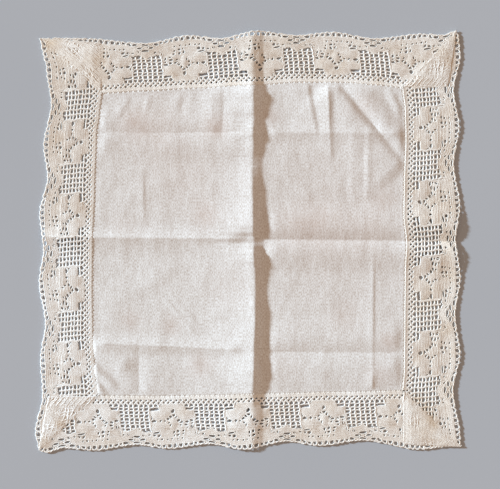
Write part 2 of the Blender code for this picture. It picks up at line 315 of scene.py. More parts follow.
@dataclass(frozen=True)
class Folds:
    """Where the cloth lies off the surface: its press folds and small wrinkles.

    Its ripples are waves in many directions, a golden turn from one to the next,
    each a step longer than the last.
    """

    pressed: tuple[Crease, ...]
    wrinkles: tuple[Crease, ...]
    ripple: float = 0.075
    waves: int = 18
    golden_turn: float = 2.399
    shortest: float = 9.0
    step: float = 2.6

    def inside_hem(self, x: np.ndarray, y: np.ndarray) -> np.ndarray:
        """Work out how far inside the hem places of the mat lie.

        Args:
            x: how far right the places lie.
            y: how far up the mat they lie.

        Returns:
            The distance for each place, below nothing in the lace.
        """
        found = np.full(np.shape(x), 1e9)
        for side in SIDES:
            along, out = side.measure(x, y)
            found = np.minimum(found, read_row(side.hem, along) - out)
        return found

    def ripples(self, x: np.ndarray, y: np.ndarray) -> np.ndarray:
        """Work out the slight unevenness of washed cloth.

        Args:
            x: how far right the places lie.
            y: how far up the mat they lie.

        Returns:
            A height for each place, never below nothing.
        """
        total = np.zeros(np.shape(x))
        for index in range(self.waves):
            turn = self.golden_turn * index
            length = self.shortest + self.step * index
            wave = 2.0 * math.pi / length
            total += length / 34.0 * np.sin(
                wave * (1.3 * x * math.cos(turn) + 0.7 * y * math.sin(turn))
                + 1.7 * index * index)
        return self.ripple * np.maximum(total + 2.5, 0.0) * 0.5

    def lift(self, x: np.ndarray, y: np.ndarray) -> np.ndarray:
        """Work out how high the cloth's underside lies above the surface.

        Args:
            x: how far right the places lie.
            y: how far up the mat they lie.

        Returns:
            A height for each place.
        """
        inside = self.inside_hem(x, y)
        high = self.ripples(x, y)
        for crease in self.pressed + self.wrinkles:
            share = 1.0 if crease.crosses_lace else ease(inside / crease.inset)
            high = high + crease.lift(x, y) * share
        return high


# The main fold's shares of its height: low in the lace, and uneven in the linen.
MAIN_SHARES = ((6.0, 0.35), (24.0, 0.4), (43.0, 0.45), (56.0, 0.6), (64.0, 0.88),
               (74.0, 1.14), (84.0, 1.4), (92.0, 1.34), (101.0, 1.14),
               (108.0, 1.19), (118.0, 1.15), (129.0, 1.09), (142.0, 1.04),
               (152.0, 0.83), (160.0, 0.77), (166.0, 0.8), (172.0, 0.9),
               (181.0, 1.04), (188.0, 1.32), (194.0, 1.36), (199.0, 1.0),
               (204.0, 0.52), (209.0, 0.66), (215.0, 1.18), (221.0, 1.42),
               (226.0, 1.4), (232.0, 1.24), (238.0, 1.03), (246.0, 0.87),
               (256.0, 0.82), (264.0, 0.72), (272.0, 0.57), (278.0, 0.44),
               (284.0, 0.44), (290.0, 0.6), (295.0, 0.69), (300.0, 0.69),
               (307.0, 0.93), (312.0, 0.92), (318.0, 0.74), (323.0, 0.62),
               (329.0, 0.86), (335.0, 0.95), (347.0, 1.18), (354.0, 0.85),
               (362.0, 0.5), (377.0, 0.45), (396.0, 0.4), (405.0, 0.35))

# How far its line strays to the left, in millimetres.
MAIN_SWAY = ((60.0, 0.0), (72.0, -0.5), (84.0, -1.0), (107.0, -1.1), (118.0, -1.7),
             (135.0, -2.2), (152.0, -1.8), (175.0, -2.1), (186.0, -1.3),
             (198.0, -0.6), (221.0, -0.4), (238.0, 0.0), (255.0, 0.4), (272.0, 0.7),
             (283.0, 0.0), (300.0, -0.4), (312.0, -0.3), (329.0, -1.3),
             (346.0, -0.7), (356.0, 0.0))

FOLDS = Folds(
    pressed=(
        Crease((4.0, -205.0), (4.0, 205.0), 5.3, 90.0, 9.0, crosses_lace=True,
               bends=(3.0, 1.0), shares=MAIN_SHARES, crown=1.1,
               sway=MAIN_SWAY),
        Crease((4.0, 20.0), (4.0, 158.0), 0.8, 13.0, 30.0, crown=0.6),
        Crease((-205.0, 4.5), (4.0, 2.4), 2.8, 14.0, 19.0, crosses_lace=True,
               bends=(2.2, 1.7), crown=0.4),
        Crease((4.0, 2.1), (205.0, 0.0), 2.4, 13.0, 11.0, Fold.TROUGH, True,
               bends=(1.9, 2.1), crown=0.4),
        Crease((-148.0, 103.4), (-2.0, 103.4), 1.2, 10.0, 10.0, Fold.TROUGH,
               bends=(1.8, 1.8), crown=0.4,
               shares=((0.0, 1.0), (12.0, 1.0), (28.0, 0.5), (50.0, 0.7),
                       (90.0, 1.0), (146.0, 1.0))),
        Crease((14.0, 103.3), (150.0, 102.6), 1.3, 10.0, 12.0, bends=(1.6, 1.6),
               crown=0.4),
        Crease((-148.0, -96.2), (-2.0, -102.8), 1.9, 12.0, 10.0, bends=(1.6, 1.6),
               crown=0.4),
        Crease((14.0, -104.8), (150.0, -105.6), 1.6, 12.0, 15.0, Fold.TROUGH,
               bends=(2.0, 1.8), crown=0.4),
        Crease((118.6, -6.0), (117.5, -152.0), 0.45, 2.2, 5.0, crown=0.4,
               shares=((0.0, 0.5), (30.0, 0.7), (45.0, 1.0), (75.0, 1.0),
                       (90.0, 0.6), (115.0, 0.6), (138.0, 1.0))),
        Crease((79.7, 158.5), (154.3, 68.0), 2.2, 10.0, 8.0, Fold.TROUGH,
               bends=(1.7, 2.0), crown=0.3, reach=(3.0, 7.0),
               shares=((0.0, 0.95), (23.0, 1.0), (40.0, 1.15), (60.0, 1.0),
                       (79.0, 0.7), (98.0, 0.75), (117.0, 0.8))),
        Crease((74.9, 161.0), (78.6, 72.0), 1.4, 6.5, 14.0, bends=(2.0, 1.2),
               crown=0.4, shares=((0.0, 1.0), (38.0, 1.0), (56.0, 0.7),
                                  (74.0, 0.55), (89.0, 0.4))),
    ),
    wrinkles=(
        Crease((54.1, 160.0), (65.4, 98.0), 1.15, 2.6, 24.0, crown=0.3),
        Crease((-22.2, 158.0), (-25.5, 90.0), 0.4, 14.0, 7.0, Fold.TROUGH,
               bends=(2.0, 2.0), crown=0.4),
        Crease((-103.6, -88.0), (-104.0, -160.0), 0.7, 14.0, 9.0, Fold.TROUGH,
               bends=(2.0, 2.0), crown=0.4,
               shares=((0.0, 0.3), (18.0, 0.5), (34.0, 1.0), (60.0, 1.2))),
        Crease((117.5, -118.0), (116.5, -158.0), 0.6, 5.0, 9.0, crown=0.6),
        Crease((-36.0, 146.0), (-34.0, 98.0), 0.4, 10.0, 14.0),
        Crease((110.3, 112.0), (109.3, 30.0), 0.36, 2.4, 10.0, Fold.TROUGH,
               crown=0.4, reach=(4.0, 1.6)),
        Crease((110.0, 36.0), (106.0, -30.0), 0.2, 3.0, 10.0),
        Crease((-160.0, -109.0), (-121.0, -142.3), 1.7, 5.0, 6.0, crown=0.6,
               inset=2.0),
        Crease((-160.0, -114.7), (-132.0, -151.2), 1.4, 3.5, 5.0, crown=0.5,
               inset=2.0),
        Crease((-165.0, -89.7), (-109.0, -123.3), 1.6, 12.0, 9.0, crown=0.8,
               inset=3.0),
        Crease((-82.0, -46.0), (-43.0, -91.0), 0.35, 3.0, 3.0, Fold.TROUGH,
               crown=0.4, reach=(2.0, 2.0)),
        Crease((34.0, -31.0), (74.0, -51.0), 0.35, 2.6, 2.6, Fold.TROUGH,
               crown=0.4, reach=(2.0, 2.0)),
        Crease((-112.0, 141.0), (-127.0, 111.0), 0.45, 2.5, 6.0),
        Crease((-94.0, 145.0), (-98.0, 118.0), 0.4, 4.0, 2.4),
        Crease((-62.0, 146.0), (-73.0, 120.0), 0.55, 5.0, 8.0),
        Crease((-100.5, 72.0), (-99.0, 12.0), 0.4, 2.4, 8.0, crown=0.4),
        Crease((-53.0, 148.0), (-58.0, 112.0), 0.3, 5.0, 4.0),
        Crease((-140.0, 112.0), (-118.0, 96.0), 0.5, 5.0, 9.0),
        Crease((130.5, 149.0), (149.0, 114.0), 1.0, 3.2, 5.0),
        Crease((-143.0, 66.0), (-141.0, 10.0), 0.4, 8.0, 3.0),
        Crease((18.0, -60.0), (74.0, -92.0), 0.35, 9.0, 11.0),
        Crease((-126.0, 36.0), (-52.0, 68.0), 0.3, 10.0, 12.0),
        Crease((28.0, 92.0), (62.0, 36.0), 0.35, 10.0, 12.0),
        Crease((-96.0, -26.0), (-16.0, -74.0), 0.35, 12.0, 12.0),
        Crease((56.0, -18.0), (136.0, -36.0), 0.35, 9.0, 11.0),
        Crease((-130.0, -60.0), (-60.0, -20.0), 0.3, 10.0, 9.0),
        Crease((-84.0, 100.0), (-30.0, 40.0), 0.3, 9.0, 12.0),
        Crease((90.0, 60.0), (140.0, 20.0), 0.3, 9.0, 9.0),
        Crease((-60.0, -108.0), (-20.0, -144.0), 0.3, 7.0, 9.0),
        Crease((40.0, -110.0), (90.0, -144.0), 0.35, 7.0, 9.0),
    ),
)


# ---------------------------------------------------------------------- finishes
def linear(code: str) -> tuple[float, float, float, float]:
    """Turn an sRGB hex colour into the linear values that shaders use.

    Args:
        code: the colour, as in #C3A08B.

    Returns:
        Red, green, blue and an opacity of 1.
    """
    parts = [int(code.lstrip("#")[i:i + 2], 16) / 255.0 for i in (0, 2, 4)]
    turned = [p / 12.92 if p <= 0.04045 else ((p + 0.055) / 1.055) ** 2.4
              for p in parts]
    return (turned[0], turned[1], turned[2], 1.0)


def add_node(tree: bpy.types.NodeTree, kind: str, settings: dict | None = None,
             values: dict | None = None, links: dict | None = None) -> bpy.types.Node:
    """Add one node with its settings, its own values and its links.

    Args:
        tree: the node tree that it joins.
        kind: the node's type.
        settings: attributes to set.
        values: default values, by input.
        links: sockets that feed it, by input.

    Returns:
        The new node.
    """
    node = tree.nodes.new(kind)
    for name, value in (settings or {}).items():
        setattr(node, name, value)
    for name, value in (values or {}).items():
        node.inputs[name].default_value = value
    for name, socket in (links or {}).items():
        tree.links.new(socket, node.inputs[name])
    return node


def start_material(name: str, roughness: float, specular: float,
                   sheen: float = 0.0) -> tuple[bpy.types.Material,
                                                bpy.types.NodeSocket]:
    """Start a node material and read its piece's own coordinates.

    Args:
        name: the material's name.
        roughness: how matt it is.
        specular: the shader's specular level.
        sheen: the weight of its sheen.

    Returns:
        The material and the coordinates.
    """
    material = bpy.data.materials.new(name)
    material.use_nodes = True
    inputs = material.node_tree.nodes["Principled BSDF"].inputs
    inputs["Roughness"].default_value = roughness
    inputs["Specular IOR Level"].default_value = specular
    inputs["Sheen Weight"].default_value = sheen
    place = add_node(material.node_tree, "ShaderNodeTexCoord").outputs["Object"]
    return material, place


def end_material(material: bpy.types.Material, colour: bpy.types.NodeSocket,
                 normal: bpy.types.NodeSocket | None = None) -> bpy.types.Material:
    """Link a material's colour, and its bumps if it has them, to its shader.

    Args:
        material: the material.
        colour: the socket of its colour.
        normal: the socket of its bumps, or None.

    Returns:
        The same material.
    """
    inputs = material.node_tree.nodes["Principled BSDF"].inputs
    material.node_tree.links.new(colour, inputs["Base Color"])
    if normal is not None:
        material.node_tree.links.new(normal, inputs["Normal"])
    return material


def wave_scale(period: float) -> float:
    """Return the band texture's scale for a period in millimetres."""
    return 2.0 * math.pi / (20.0 * period * MM)


@dataclass(frozen=True)
class WashedLinen:
    """Off-white linen in plain weave, washed and pressed many times.

    Its yarns are uneven, so slubs show along the warp and less along the weft; the
    cloth is quite matt and a little crumpled all over.
    """

    name: str = "washed_linen"
    ground: str = "#F4F4F3"
    slub: str = "#D3CCC5"
    stain_or_painted_light: str = "#C3A08B"
    yarn_pitch: float = 0.9  # real yarns lie about 0.5 mm apart; drawn coarser to show
    slub_width: float = 1.5
    slub_length: float = 17.0
    grain: tuple[float, float] = (0.8, 1.9)
    mottle: float = 5.0
    crumple: float = 8.0

    def noise(self, tree: bpy.types.NodeTree, place: bpy.types.NodeSocket,
              sizes: tuple[float, float], detail: float = 2.0) -> bpy.types.NodeSocket:
        """Add a noise whose patches have a size across and one up the cloth.

        Args:
            tree: the node tree that it joins.
            place: the piece's own coordinates.
            sizes: the patches' sizes in millimetres.
            detail: how many finer layers it has.

        Returns:
            The noise's output.
        """
        stretched = add_node(
            tree, "ShaderNodeMapping",
            values={"Scale": (1.0 / (sizes[0] * MM), 1.0 / (sizes[1] * MM), 1.0)},
            links={"Vector": place})
        return add_node(tree, "ShaderNodeTexNoise",
                        values={"Scale": 1.0, "Detail": detail, "Roughness": 0.55},
                        links={"Vector": stretched.outputs["Vector"]}).outputs["Fac"]

    def make(self) -> bpy.types.Material:
        """Build the material from its weave, slubs, crumples, old stains and painted
        shade.

        Returns:
            The finished material.
        """
        material, place = start_material(self.name, 0.92, 0.25, 0.08)
        tree = material.node_tree
        warp = self.noise(tree, place, (self.slub_width, self.slub_length))
        weft = self.noise(tree, place, (self.slub_length, self.slub_width))
        mottled = self.noise(tree, place, (self.mottle, 2.2 * self.mottle), 3.0)
        uneven = self.noise(tree, place, self.grain, 0.0)
        for patches, share in ((warp, 0.3), (weft, 0.1), (mottled, 0.28)):
            uneven = add_node(tree, "ShaderNodeMath", {"operation": "MULTIPLY_ADD"},
                              values={1: share},
                              links={0: patches, 2: uneven}).outputs[0]
        thick = add_node(tree, "ShaderNodeMapRange",
                         values={"From Min": 0.632, "From Max": 1.082},
                         links={"Value": uneven})
        toned = add_node(tree, "ShaderNodeMix", {"data_type": "RGBA"},
                         values={"A": linear(self.ground), "B": linear(self.slub)},
                         links={"Factor": thick.outputs["Result"]})
        stain_or_light_factor = add_node(tree, "ShaderNodeAttribute", {"attribute_name": "stain_or_painted_light"})
        patchy = add_node(tree, "ShaderNodeMath", {"operation": "MULTIPLY_ADD"},
                          values={1: 0.8, 2: 0.6}, links={0: mottled})
        deep = add_node(tree, "ShaderNodeMath", {"operation": "MULTIPLY"},
                        links={0: stain_or_light_factor.outputs["Fac"], 1: patchy.outputs[0]})
        tinted = add_node(tree, "ShaderNodeMix", {"data_type": "RGBA"},
                          values={"B": linear(self.stain_or_painted_light)},
                          links={"Factor": deep.outputs[0],
                                 "A": toned.outputs["Result"]})
        yarns = [add_node(tree, "ShaderNodeTexWave", {"bands_direction": direction},
                          values={"Scale": wave_scale(self.yarn_pitch),
                                  "Distortion": 2.5, "Detail": 2.0,
                                  "Detail Scale": 1.6},
                          links={"Vector": place}).outputs["Fac"]
                 for direction in ("X", "Y")]
        woven = add_node(tree, "ShaderNodeMath", {"operation": "MAXIMUM"},
                         links=dict(enumerate(yarns)))
        relief = add_node(tree, "ShaderNodeMath", {"operation": "MULTIPLY_ADD"},
                          values={1: 0.8},
                          links={0: thick.outputs["Result"], 2: woven.outputs[0]})
        fine = add_node(tree, "ShaderNodeBump",
                        values={"Strength": 0.4, "Distance": 0.12 * MM},
                        links={"Height": relief.outputs[0]})
        crumpled = self.noise(tree, place, (self.crumple, 2.0 * self.crumple), 3.0)
        soft = add_node(tree, "ShaderNodeBump",
                        values={"Strength": 0.8, "Distance": 0.45 * MM},
                        links={"Height": crumpled, "Normal": fine.outputs["Normal"]})
        return end_material(material, tinted.outputs["Result"],
                            soft.outputs["Normal"])


@dataclass(frozen=True)
class LaceCotton:
    """Natural cotton lace thread, plied and washed: soft, matt, a little yellowed."""

    name: str = "cotton_thread"
    ground: str = "#FAF6F0"
    age_stain_or_light: str = "#E6D5C0"
    cloud: float = 22.0
    fibre: float = 0.35

    def make(self) -> bpy.types.Material:
        """Build the material from its clouds of age, its stains and painted light and
        shade, and its fine fibres.

        Returns:
            The finished material.
        """
        material, place = start_material(self.name, 0.85, 0.3, 0.1)
        tree = material.node_tree
        clouds = add_node(tree, "ShaderNodeTexNoise",
                          values={"Scale": 1.0 / (self.cloud * MM), "Detail": 3.0},
                          links={"Vector": place})
        age = add_node(tree, "ShaderNodeMapRange",
                       values={"From Min": 0.42, "From Max": 0.8, "To Max": 0.55},
                       links={"Value": clouds.outputs["Fac"]})
        stain_or_light_factor = add_node(tree, "ShaderNodeAttribute", {"attribute_name": "stain_or_painted_light"})
        age_stain_or_light = add_node(tree, "ShaderNodeMath", {"operation": "ADD"},
                        links={0: age.outputs["Result"], 1: stain_or_light_factor.outputs["Fac"]})
        # The factor is not clamped, so painted light below nothing makes the lace
        # paler than its ground.
        toned = add_node(tree, "ShaderNodeMix",
                         {"data_type": "RGBA", "clamp_factor": False},
                         values={"A": linear(self.ground), "B": linear(self.age_stain_or_light)},
                         links={"Factor": age_stain_or_light.outputs[0]})
        fibres = add_node(tree, "ShaderNodeTexNoise",
                          values={"Scale": 1.0 / (self.fibre * MM), "Detail": 2.0},
                          links={"Vector": place})
        bump = add_node(tree, "ShaderNodeBump",
                        values={"Strength": 0.4, "Distance": 0.08 * MM},
                        links={"Height": fibres.outputs["Fac"]})
        return end_material(material, toned.outputs["Result"],
                            bump.outputs["Normal"])


@dataclass(frozen=True)
class TableTop:
    """Plain matt painted board, pale grey, with the faintest unevenness."""

    name: str = "pale_table"
    ground: str = "#B9BCC1"
    cloud: str = "#B3B7BD"

    def make(self) -> bpy.types.Material:
        """Build the floor's material.

        Returns:
            The finished material.
        """
        material, place = start_material(self.name, 0.95, 0.1)
        tree = material.node_tree
        clouds = add_node(tree, "ShaderNodeTexNoise", values={"Scale": 3.0},
                          links={"Vector": place})
        toned = add_node(tree, "ShaderNodeMix", {"data_type": "RGBA"},
                         values={"A": linear(self.ground), "B": linear(self.cloud)},
                         links={"Factor": clouds.outputs["Fac"]})
        return end_material(material, toned.outputs["Result"])


# ------------------------------------------------------------------ piece making
PALEST_PAINTED_LIGHT = -0.6  # the palest tone that painted light may reach


@dataclass(frozen=True)
class StainOrPaintedLight:
    """One old stain, or one patch of painted light or shade: where it is, how far it
    reaches and how deep its tone is.

    A depth below nothing is painted light, which makes the place paler than its
    ground.
    """

    x: float
    y: float
    reach: float
    depth: float


def stain_and_light_tone(places: np.ndarray, marks: tuple[StainOrPaintedLight, ...], ground: float) -> np.ndarray:
    """Return the tone of places of the mat: stains and painted shade up to 1, painted
    light below 0.

    Args:
        places: the points in millimetres, one in each row.
        marks: the stains and the patches of painted light and shade.
        ground: the tone where there is no mark.

    Returns:
        One tone for each place.
    """
    tone = np.full(len(places), ground)
    for mark in marks:
        away = np.hypot(places[:, 0] - mark.x, places[:, 1] - mark.y) / mark.reach
        tone = tone + mark.depth * np.exp(-away * away)
    return np.clip(tone, PALEST_PAINTED_LIGHT, 1.0)


LACE_STAINS_AND_PAINTED_LIGHT = (
    # Broad marks: those below nothing are painted light, paling the lace along its
    # left and bottom sides and the top; those at x 178 are painted shade, darkening
    # its right side.
    StainOrPaintedLight(-175.0, 2.0, 38.0, -0.34), StainOrPaintedLight(-175.0, -62.0, 50.0, -0.34),
    StainOrPaintedLight(-175.0, -130.0, 48.0, -0.36), StainOrPaintedLight(-180.0, -182.0, 28.0, -0.2),
    StainOrPaintedLight(-112.0, -174.0, 44.0, -0.3), StainOrPaintedLight(-50.0, -174.0, 42.0, -0.32),
    StainOrPaintedLight(-8.0, -174.0, 16.0, -0.2), StainOrPaintedLight(75.0, -174.0, 60.0, -0.1),
    StainOrPaintedLight(-60.0, 174.0, 40.0, -0.1), StainOrPaintedLight(-172.0, 172.0, 25.0, 0.1),
    StainOrPaintedLight(178.0, 15.0, 30.0, 0.14), StainOrPaintedLight(178.0, -85.0, 30.0, 0.07),
    StainOrPaintedLight(178.0, -130.0, 30.0, 0.07),
    StainOrPaintedLight(-189.0, 188.0, 7.0, 0.7), StainOrPaintedLight(-143.0, 172.0, 8.0, 0.35),
    # The marks at x 184 to 198.5, on this line and the next, are painted shade on the
    # lace beside the upper right pleat's folded layer.
    StainOrPaintedLight(-150.0, 158.0, 6.0, 0.2), StainOrPaintedLight(198.5, 190.0, 6.0, 0.55),
    StainOrPaintedLight(192.0, 171.0, 7.0, 0.25), StainOrPaintedLight(184.0, 179.0, 6.0, 0.2),
    StainOrPaintedLight(-178.0, -173.0, 6.0, 0.7), StainOrPaintedLight(-193.0, -190.0, 7.0, 0.6),
    # This chain of marks is a painted shadow along the lower right mitre.
    StainOrPaintedLight(160.0, -150.0, 3.5, 0.6), StainOrPaintedLight(168.0, -158.0, 4.0, 0.7),
    StainOrPaintedLight(173.5, -166.5, 4.5, 0.65), StainOrPaintedLight(176.0, -174.5, 5.0, 0.6),
    StainOrPaintedLight(173.0, -190.0, 7.0, 0.3), StainOrPaintedLight(158.0, -180.0, 10.0, 0.12),
    StainOrPaintedLight(-196.0, 150.0, 8.0, 0.3), StainOrPaintedLight(-160.0, -180.0, 12.0, 0.1),
    StainOrPaintedLight(30.0, 176.0, 16.0, 0.15), StainOrPaintedLight(-172.0, 30.0, 18.0, 0.12),
    StainOrPaintedLight(176.0, -40.0, 18.0, 0.15), StainOrPaintedLight(60.0, -176.0, 18.0, 0.1))


def vertex_places(mesh: bpy.types.Mesh) -> np.ndarray:
    """Read a mesh's vertices.

    Args:
        mesh: the mesh.

    Returns:
        Their places in millimetres, one in each row.
    """
    spots = np.zeros(len(mesh.vertices) * 3, np.float32)
    mesh.vertices.foreach_get("co", spots)
    return spots.reshape(-1, 3).astype(float) / MM


def new_grid(name: str, cells: int, size: float) -> bpy.types.Mesh:
    """Make a flat square grid round the origin.

    Args:
        name: the mesh's name.
        cells: how many cells it has each way.
        size: half its side, in metres.

    Returns:
        The grid's mesh.
    """
    sheet = bmesh.new()
    bmesh.ops.create_grid(sheet, x_segments=cells, y_segments=cells, size=size)
    mesh = bpy.data.meshes.new(name)
    sheet.to_mesh(mesh)
    sheet.free()
    return mesh


def new_object(name: str, data: bpy.types.ID) -> bpy.types.Object:
    """Make an object and link it to the scene.

    Args:
        name: the object's name.
        data: its mesh, curve, light or lens.

    Returns:
        The new object.
    """
    item = bpy.data.objects.new(name, data)
    bpy.context.scene.collection.objects.link(item)
    return item


def finish_piece(item: bpy.types.Object, material: bpy.types.Material,
                 node: str, marks: tuple[StainOrPaintedLight, ...],
                 ground: float = 0.0) -> bpy.types.Object:
    """Dress a piece, mark its stains and painted light and shade, give it its bake map
    and hang it on the frame.

    Args:
        item: the piece, in place.
        material: its finish.
        node: the CAD node that it stands for.
        marks: the stains and the painted light and shade that may reach it.
        ground: its tone where there is no mark; on the clothwork this is painted
            shade.

    Returns:
        The same piece.
    """
    mesh = item.data
    mesh.materials.clear()
    mesh.materials.append(material)
    mesh.polygons.foreach_set("use_smooth", np.ones(len(mesh.polygons), bool))
    spots = vertex_places(mesh)
    mesh.attributes.new("stain_or_painted_light", "FLOAT", "POINT").data.foreach_set(
        "value", stain_and_light_tone(spots, marks, ground).astype(np.float32))
    corners = np.zeros(len(mesh.loops), np.int32)
    mesh.loops.foreach_get("vertex_index", corners)
    low, high = spots[:, :2].min(axis=0), spots[:, :2].max(axis=0)
    flat = (spots[:, :2] - low) / (high - low).max()
    mesh.uv_layers.new(name="OFBake").data.foreach_set(
        "uv", flat[corners].astype(np.float32).ravel())
    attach(item, "root")
    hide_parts(node)
    count = sum(len(p.vertices) - 2 for p in mesh.polygons)
    LOG.info("%s: %d triangles before modifiers", item.name, count)
    return item


@dataclass
class Skein:
    """Threads that are laid one by one and then made into one mesh."""

    name: str
    threads: list[tuple[np.ndarray, float]] = field(default_factory=list)

    def lay(self, path: np.ndarray, radius: float) -> None:
        """Add one thread along a path, if it has any length."""
        if len(path) > 1:
            self.threads.append((path, radius))

    def wind(self) -> bpy.types.Object:
        """Turn the threads into one mesh of closed tubes.

        Returns:
            The piece, linked to the scene.
        """
        drawing = bpy.data.curves.new(self.name, "CURVE")
        drawing.dimensions = "3D"
        drawing.fill_mode = "FULL"
        drawing.bevel_depth = MM
        drawing.bevel_resolution = 0
        drawing.use_fill_caps = True
        for path, radius in self.threads:
            spline = drawing.splines.new("POLY")
            spline.points.add(len(path) - 1)
            spots = np.ones((len(path), 4), np.float32)
            spots[:, :3] = path * MM
            spline.points.foreach_set("co", spots.ravel())
            spline.points.foreach_set("radius", np.full(len(path), radius, np.float32))
        drawn = new_object(self.name + "_drawn", drawing)
        graph = bpy.context.evaluated_depsgraph_get()
        mesh = bpy.data.meshes.new_from_object(drawn.evaluated_get(graph))
        bpy.data.objects.remove(drawn)
        bpy.data.curves.remove(drawing)
        return new_object(self.name, mesh)


# -------------------------------------------------------------------- lace chart
@dataclass(frozen=True)
class Eye:
    """One small opening that the clothwork threads part around."""

    run: float
    depth: float
    half_run: float
    half_depth: float

    @property
    def long(self) -> bool:
        """True for the long slots, which are left open between ringed cords."""
        return self.half_run > 2.0


@dataclass(frozen=True)
class LaceChart:
    """One repeat of the lace: a flower of clothwork in a net, under a trail.

    A petal is its middle and its half sizes.  thread_room and slot_room are how far
    the threads beside an eye or a long slot stand off it.  Within fan_reach of
    fan_middle, the loops of the border lean out by up to a millimetre.
    """

    pitch: float = 4.75
    columns: int = 15
    lean_foot: float = 0.18
    lean_bend: float = 0.0005
    open_columns: tuple[float, float] = (20.6, 54.4)
    open_half: float = 2.2
    open_rows: tuple[float, float] = (10.9, 13.4)
    valley_half: float = 14.0
    valley_from: float = 33.0
    flower_span: tuple[float, float] = (16.0, 56.0)
    plain_trail: float = 28.0
    trail_level: float = 39.4
    rim_level: float = 48.4
    thread_room: float = 0.62
    slot_room: float = 0.6
    petal_rise: float = 0.4
    fan_middle: float = 35.6
    fan_reach: float = 22.0
    bars: tuple[float, ...] = (10.5, 13.75, 16.85, 20.2, 23.4, 26.55, 29.8, 33.05,
                               36.2)
    valley_depth: float = 45.6
    crest_depth: float = 52.3
    flower: Row = ((16.9, 14.0), (24.4, 13.9), (25.7, 10.3), (29.5, 7.4),
                   (47.5, 7.4), (50.2, 10.0), (50.6, 13.7), (58.0, 13.7),
                   (58.8, 18.0), (58.0, 22.3), (57.4, 26.6), (57.3, 32.8),
                   (57.1, 38.0), (46.1, 43.7), (27.1, 43.7), (16.2, 37.5),
                   (16.5, 31.4), (16.8, 22.8))
    trail_outer: Row = ((0.0, 36.1), (5.2, 39.2), (10.3, 42.3), (15.7, 44.7),
                        (24.2, 46.0), (34.7, 46.6), (45.1, 46.3), (49.9, 45.8),
                        (54.6, 45.0), (60.8, 43.1), (66.0, 39.5), (71.25, 36.1))
    trail_inner: Row = ((0.0, 30.3), (8.1, 33.0), (12.8, 35.6), (17.6, 38.2),
                        (27.1, 40.1), (34.7, 41.0), (44.2, 40.5), (50.8, 39.5),
                        (59.0, 37.4), (64.6, 34.8), (69.5, 31.4), (71.25, 30.3))
    picots: tuple[float, ...] = (15.4, 19.7, 24.5, 29.5, 34.8, 40.0, 45.0, 50.0,
                                 55.0)
    petals: tuple[tuple[float, float, float, float], ...] = (
        (25.6, 17.0, 8.6, 7.0), (48.9, 15.9, 9.4, 7.2), (47.8, 28.6, 9.0, 5.2),
        (26.0, 30.5, 8.5, 4.6), (36.6, 26.6, 4.0, 6.4))
    eyes: tuple[Eye, ...] = (
        Eye(19.6, 23.9, 1.5, 0.75), Eye(23.8, 25.0, 1.2, 0.75),
        Eye(29.2, 25.7, 1.5, 0.7), Eye(18.8, 29.5, 1.2, 0.85),
        Eye(24.4, 28.2, 1.3, 0.65), Eye(23.3, 30.9, 0.9, 0.4),
        Eye(29.7, 28.2, 0.9, 0.4), Eye(27.1, 34.0, 0.9, 0.5),
        Eye(27.6, 36.9, 0.8, 0.5), Eye(32.1, 38.0, 1.0, 0.7),
        Eye(32.1, 34.6, 1.0, 0.9), Eye(35.3, 38.3, 0.5, 0.6),
        Eye(36.1, 35.1, 0.8, 0.9), Eye(19.0, 26.6, 0.8, 0.4),
        Eye(31.5, 23.7, 1.0, 0.8), Eye(34.2, 20.7, 0.9, 0.8),
        Eye(36.7, 18.1, 1.1, 1.0), Eye(37.1, 14.3, 1.3, 1.3),
        Eye(39.3, 20.0, 0.9, 0.8), Eye(41.4, 22.0, 0.9, 0.7),
        Eye(41.1, 25.6, 0.6, 0.6), Eye(39.0, 27.9, 0.6, 0.8),
        Eye(44.7, 23.7, 1.0, 0.4), Eye(49.2, 23.4, 0.8, 0.7),
        Eye(55.0, 23.4, 1.9, 0.9), Eye(57.8, 21.3, 0.8, 0.8),
        Eye(50.3, 37.7, 1.2, 0.8), Eye(54.5, 37.0, 1.1, 0.6),
        Eye(52.9, 34.6, 3.3, 0.6), Eye(27.6, 41.5, 0.6, 0.5),
        Eye(32.8, 42.0, 0.5, 0.4), Eye(37.8, 41.8, 0.5, 0.4),
        Eye(41.9, 41.8, 0.6, 0.5), Eye(47.0, 41.5, 0.6, 0.5),
        Eye(51.2, 41.0, 0.6, 0.5), Eye(8.8, 36.1, 0.9, 0.6),
        Eye(13.1, 36.3, 0.9, 0.6), Eye(59.3, 36.8, 1.1, 0.5),
        Eye(64.4, 36.8, 1.1, 0.6), Eye(0.0, 43.3, 3.5, 0.7),
        Eye(-10.2, 44.1, 2.5, 1.0), Eye(10.2, 44.1, 2.5, 1.0),
        Eye(-5.6, 40.5, 2.2, 0.75), Eye(5.6, 40.5, 2.2, 0.75),
        Eye(0.0, 37.6, 3.0, 0.9))

    @property
    def repeat(self) -> float:
        """Length of one repeat."""
        return self.pitch * self.columns

    def edge_depth(self, run: np.ndarray) -> np.ndarray:
        """Return how deep the lace is from hem to edge."""
        share = 1.0 - np.abs(np.mod(run, self.repeat) / (0.5 * self.repeat) - 1.0)
        return self.valley_depth + (self.crest_depth - self.valley_depth) * ease(share)

    def lean(self, depth: np.ndarray) -> np.ndarray:
        """Return how far the net's columns lean along the strip."""
        return self.pitch * (self.lean_foot - self.lean_bend * depth ** 2)

    def opened(self, local: np.ndarray, depth: np.ndarray) -> np.ndarray:
        """Tell where the net leaves out a column beside the flower's foot.

        Args:
            local: places along one repeat.
            depth: places out from the hem.

        Returns:
            True for each place left out.
        """
        left, right = self.open_columns
        beside = np.minimum(np.abs(local - left), np.abs(local - right))
        return ((beside < self.open_half) & (depth > self.open_rows[0])
                & (depth < self.open_rows[1]))

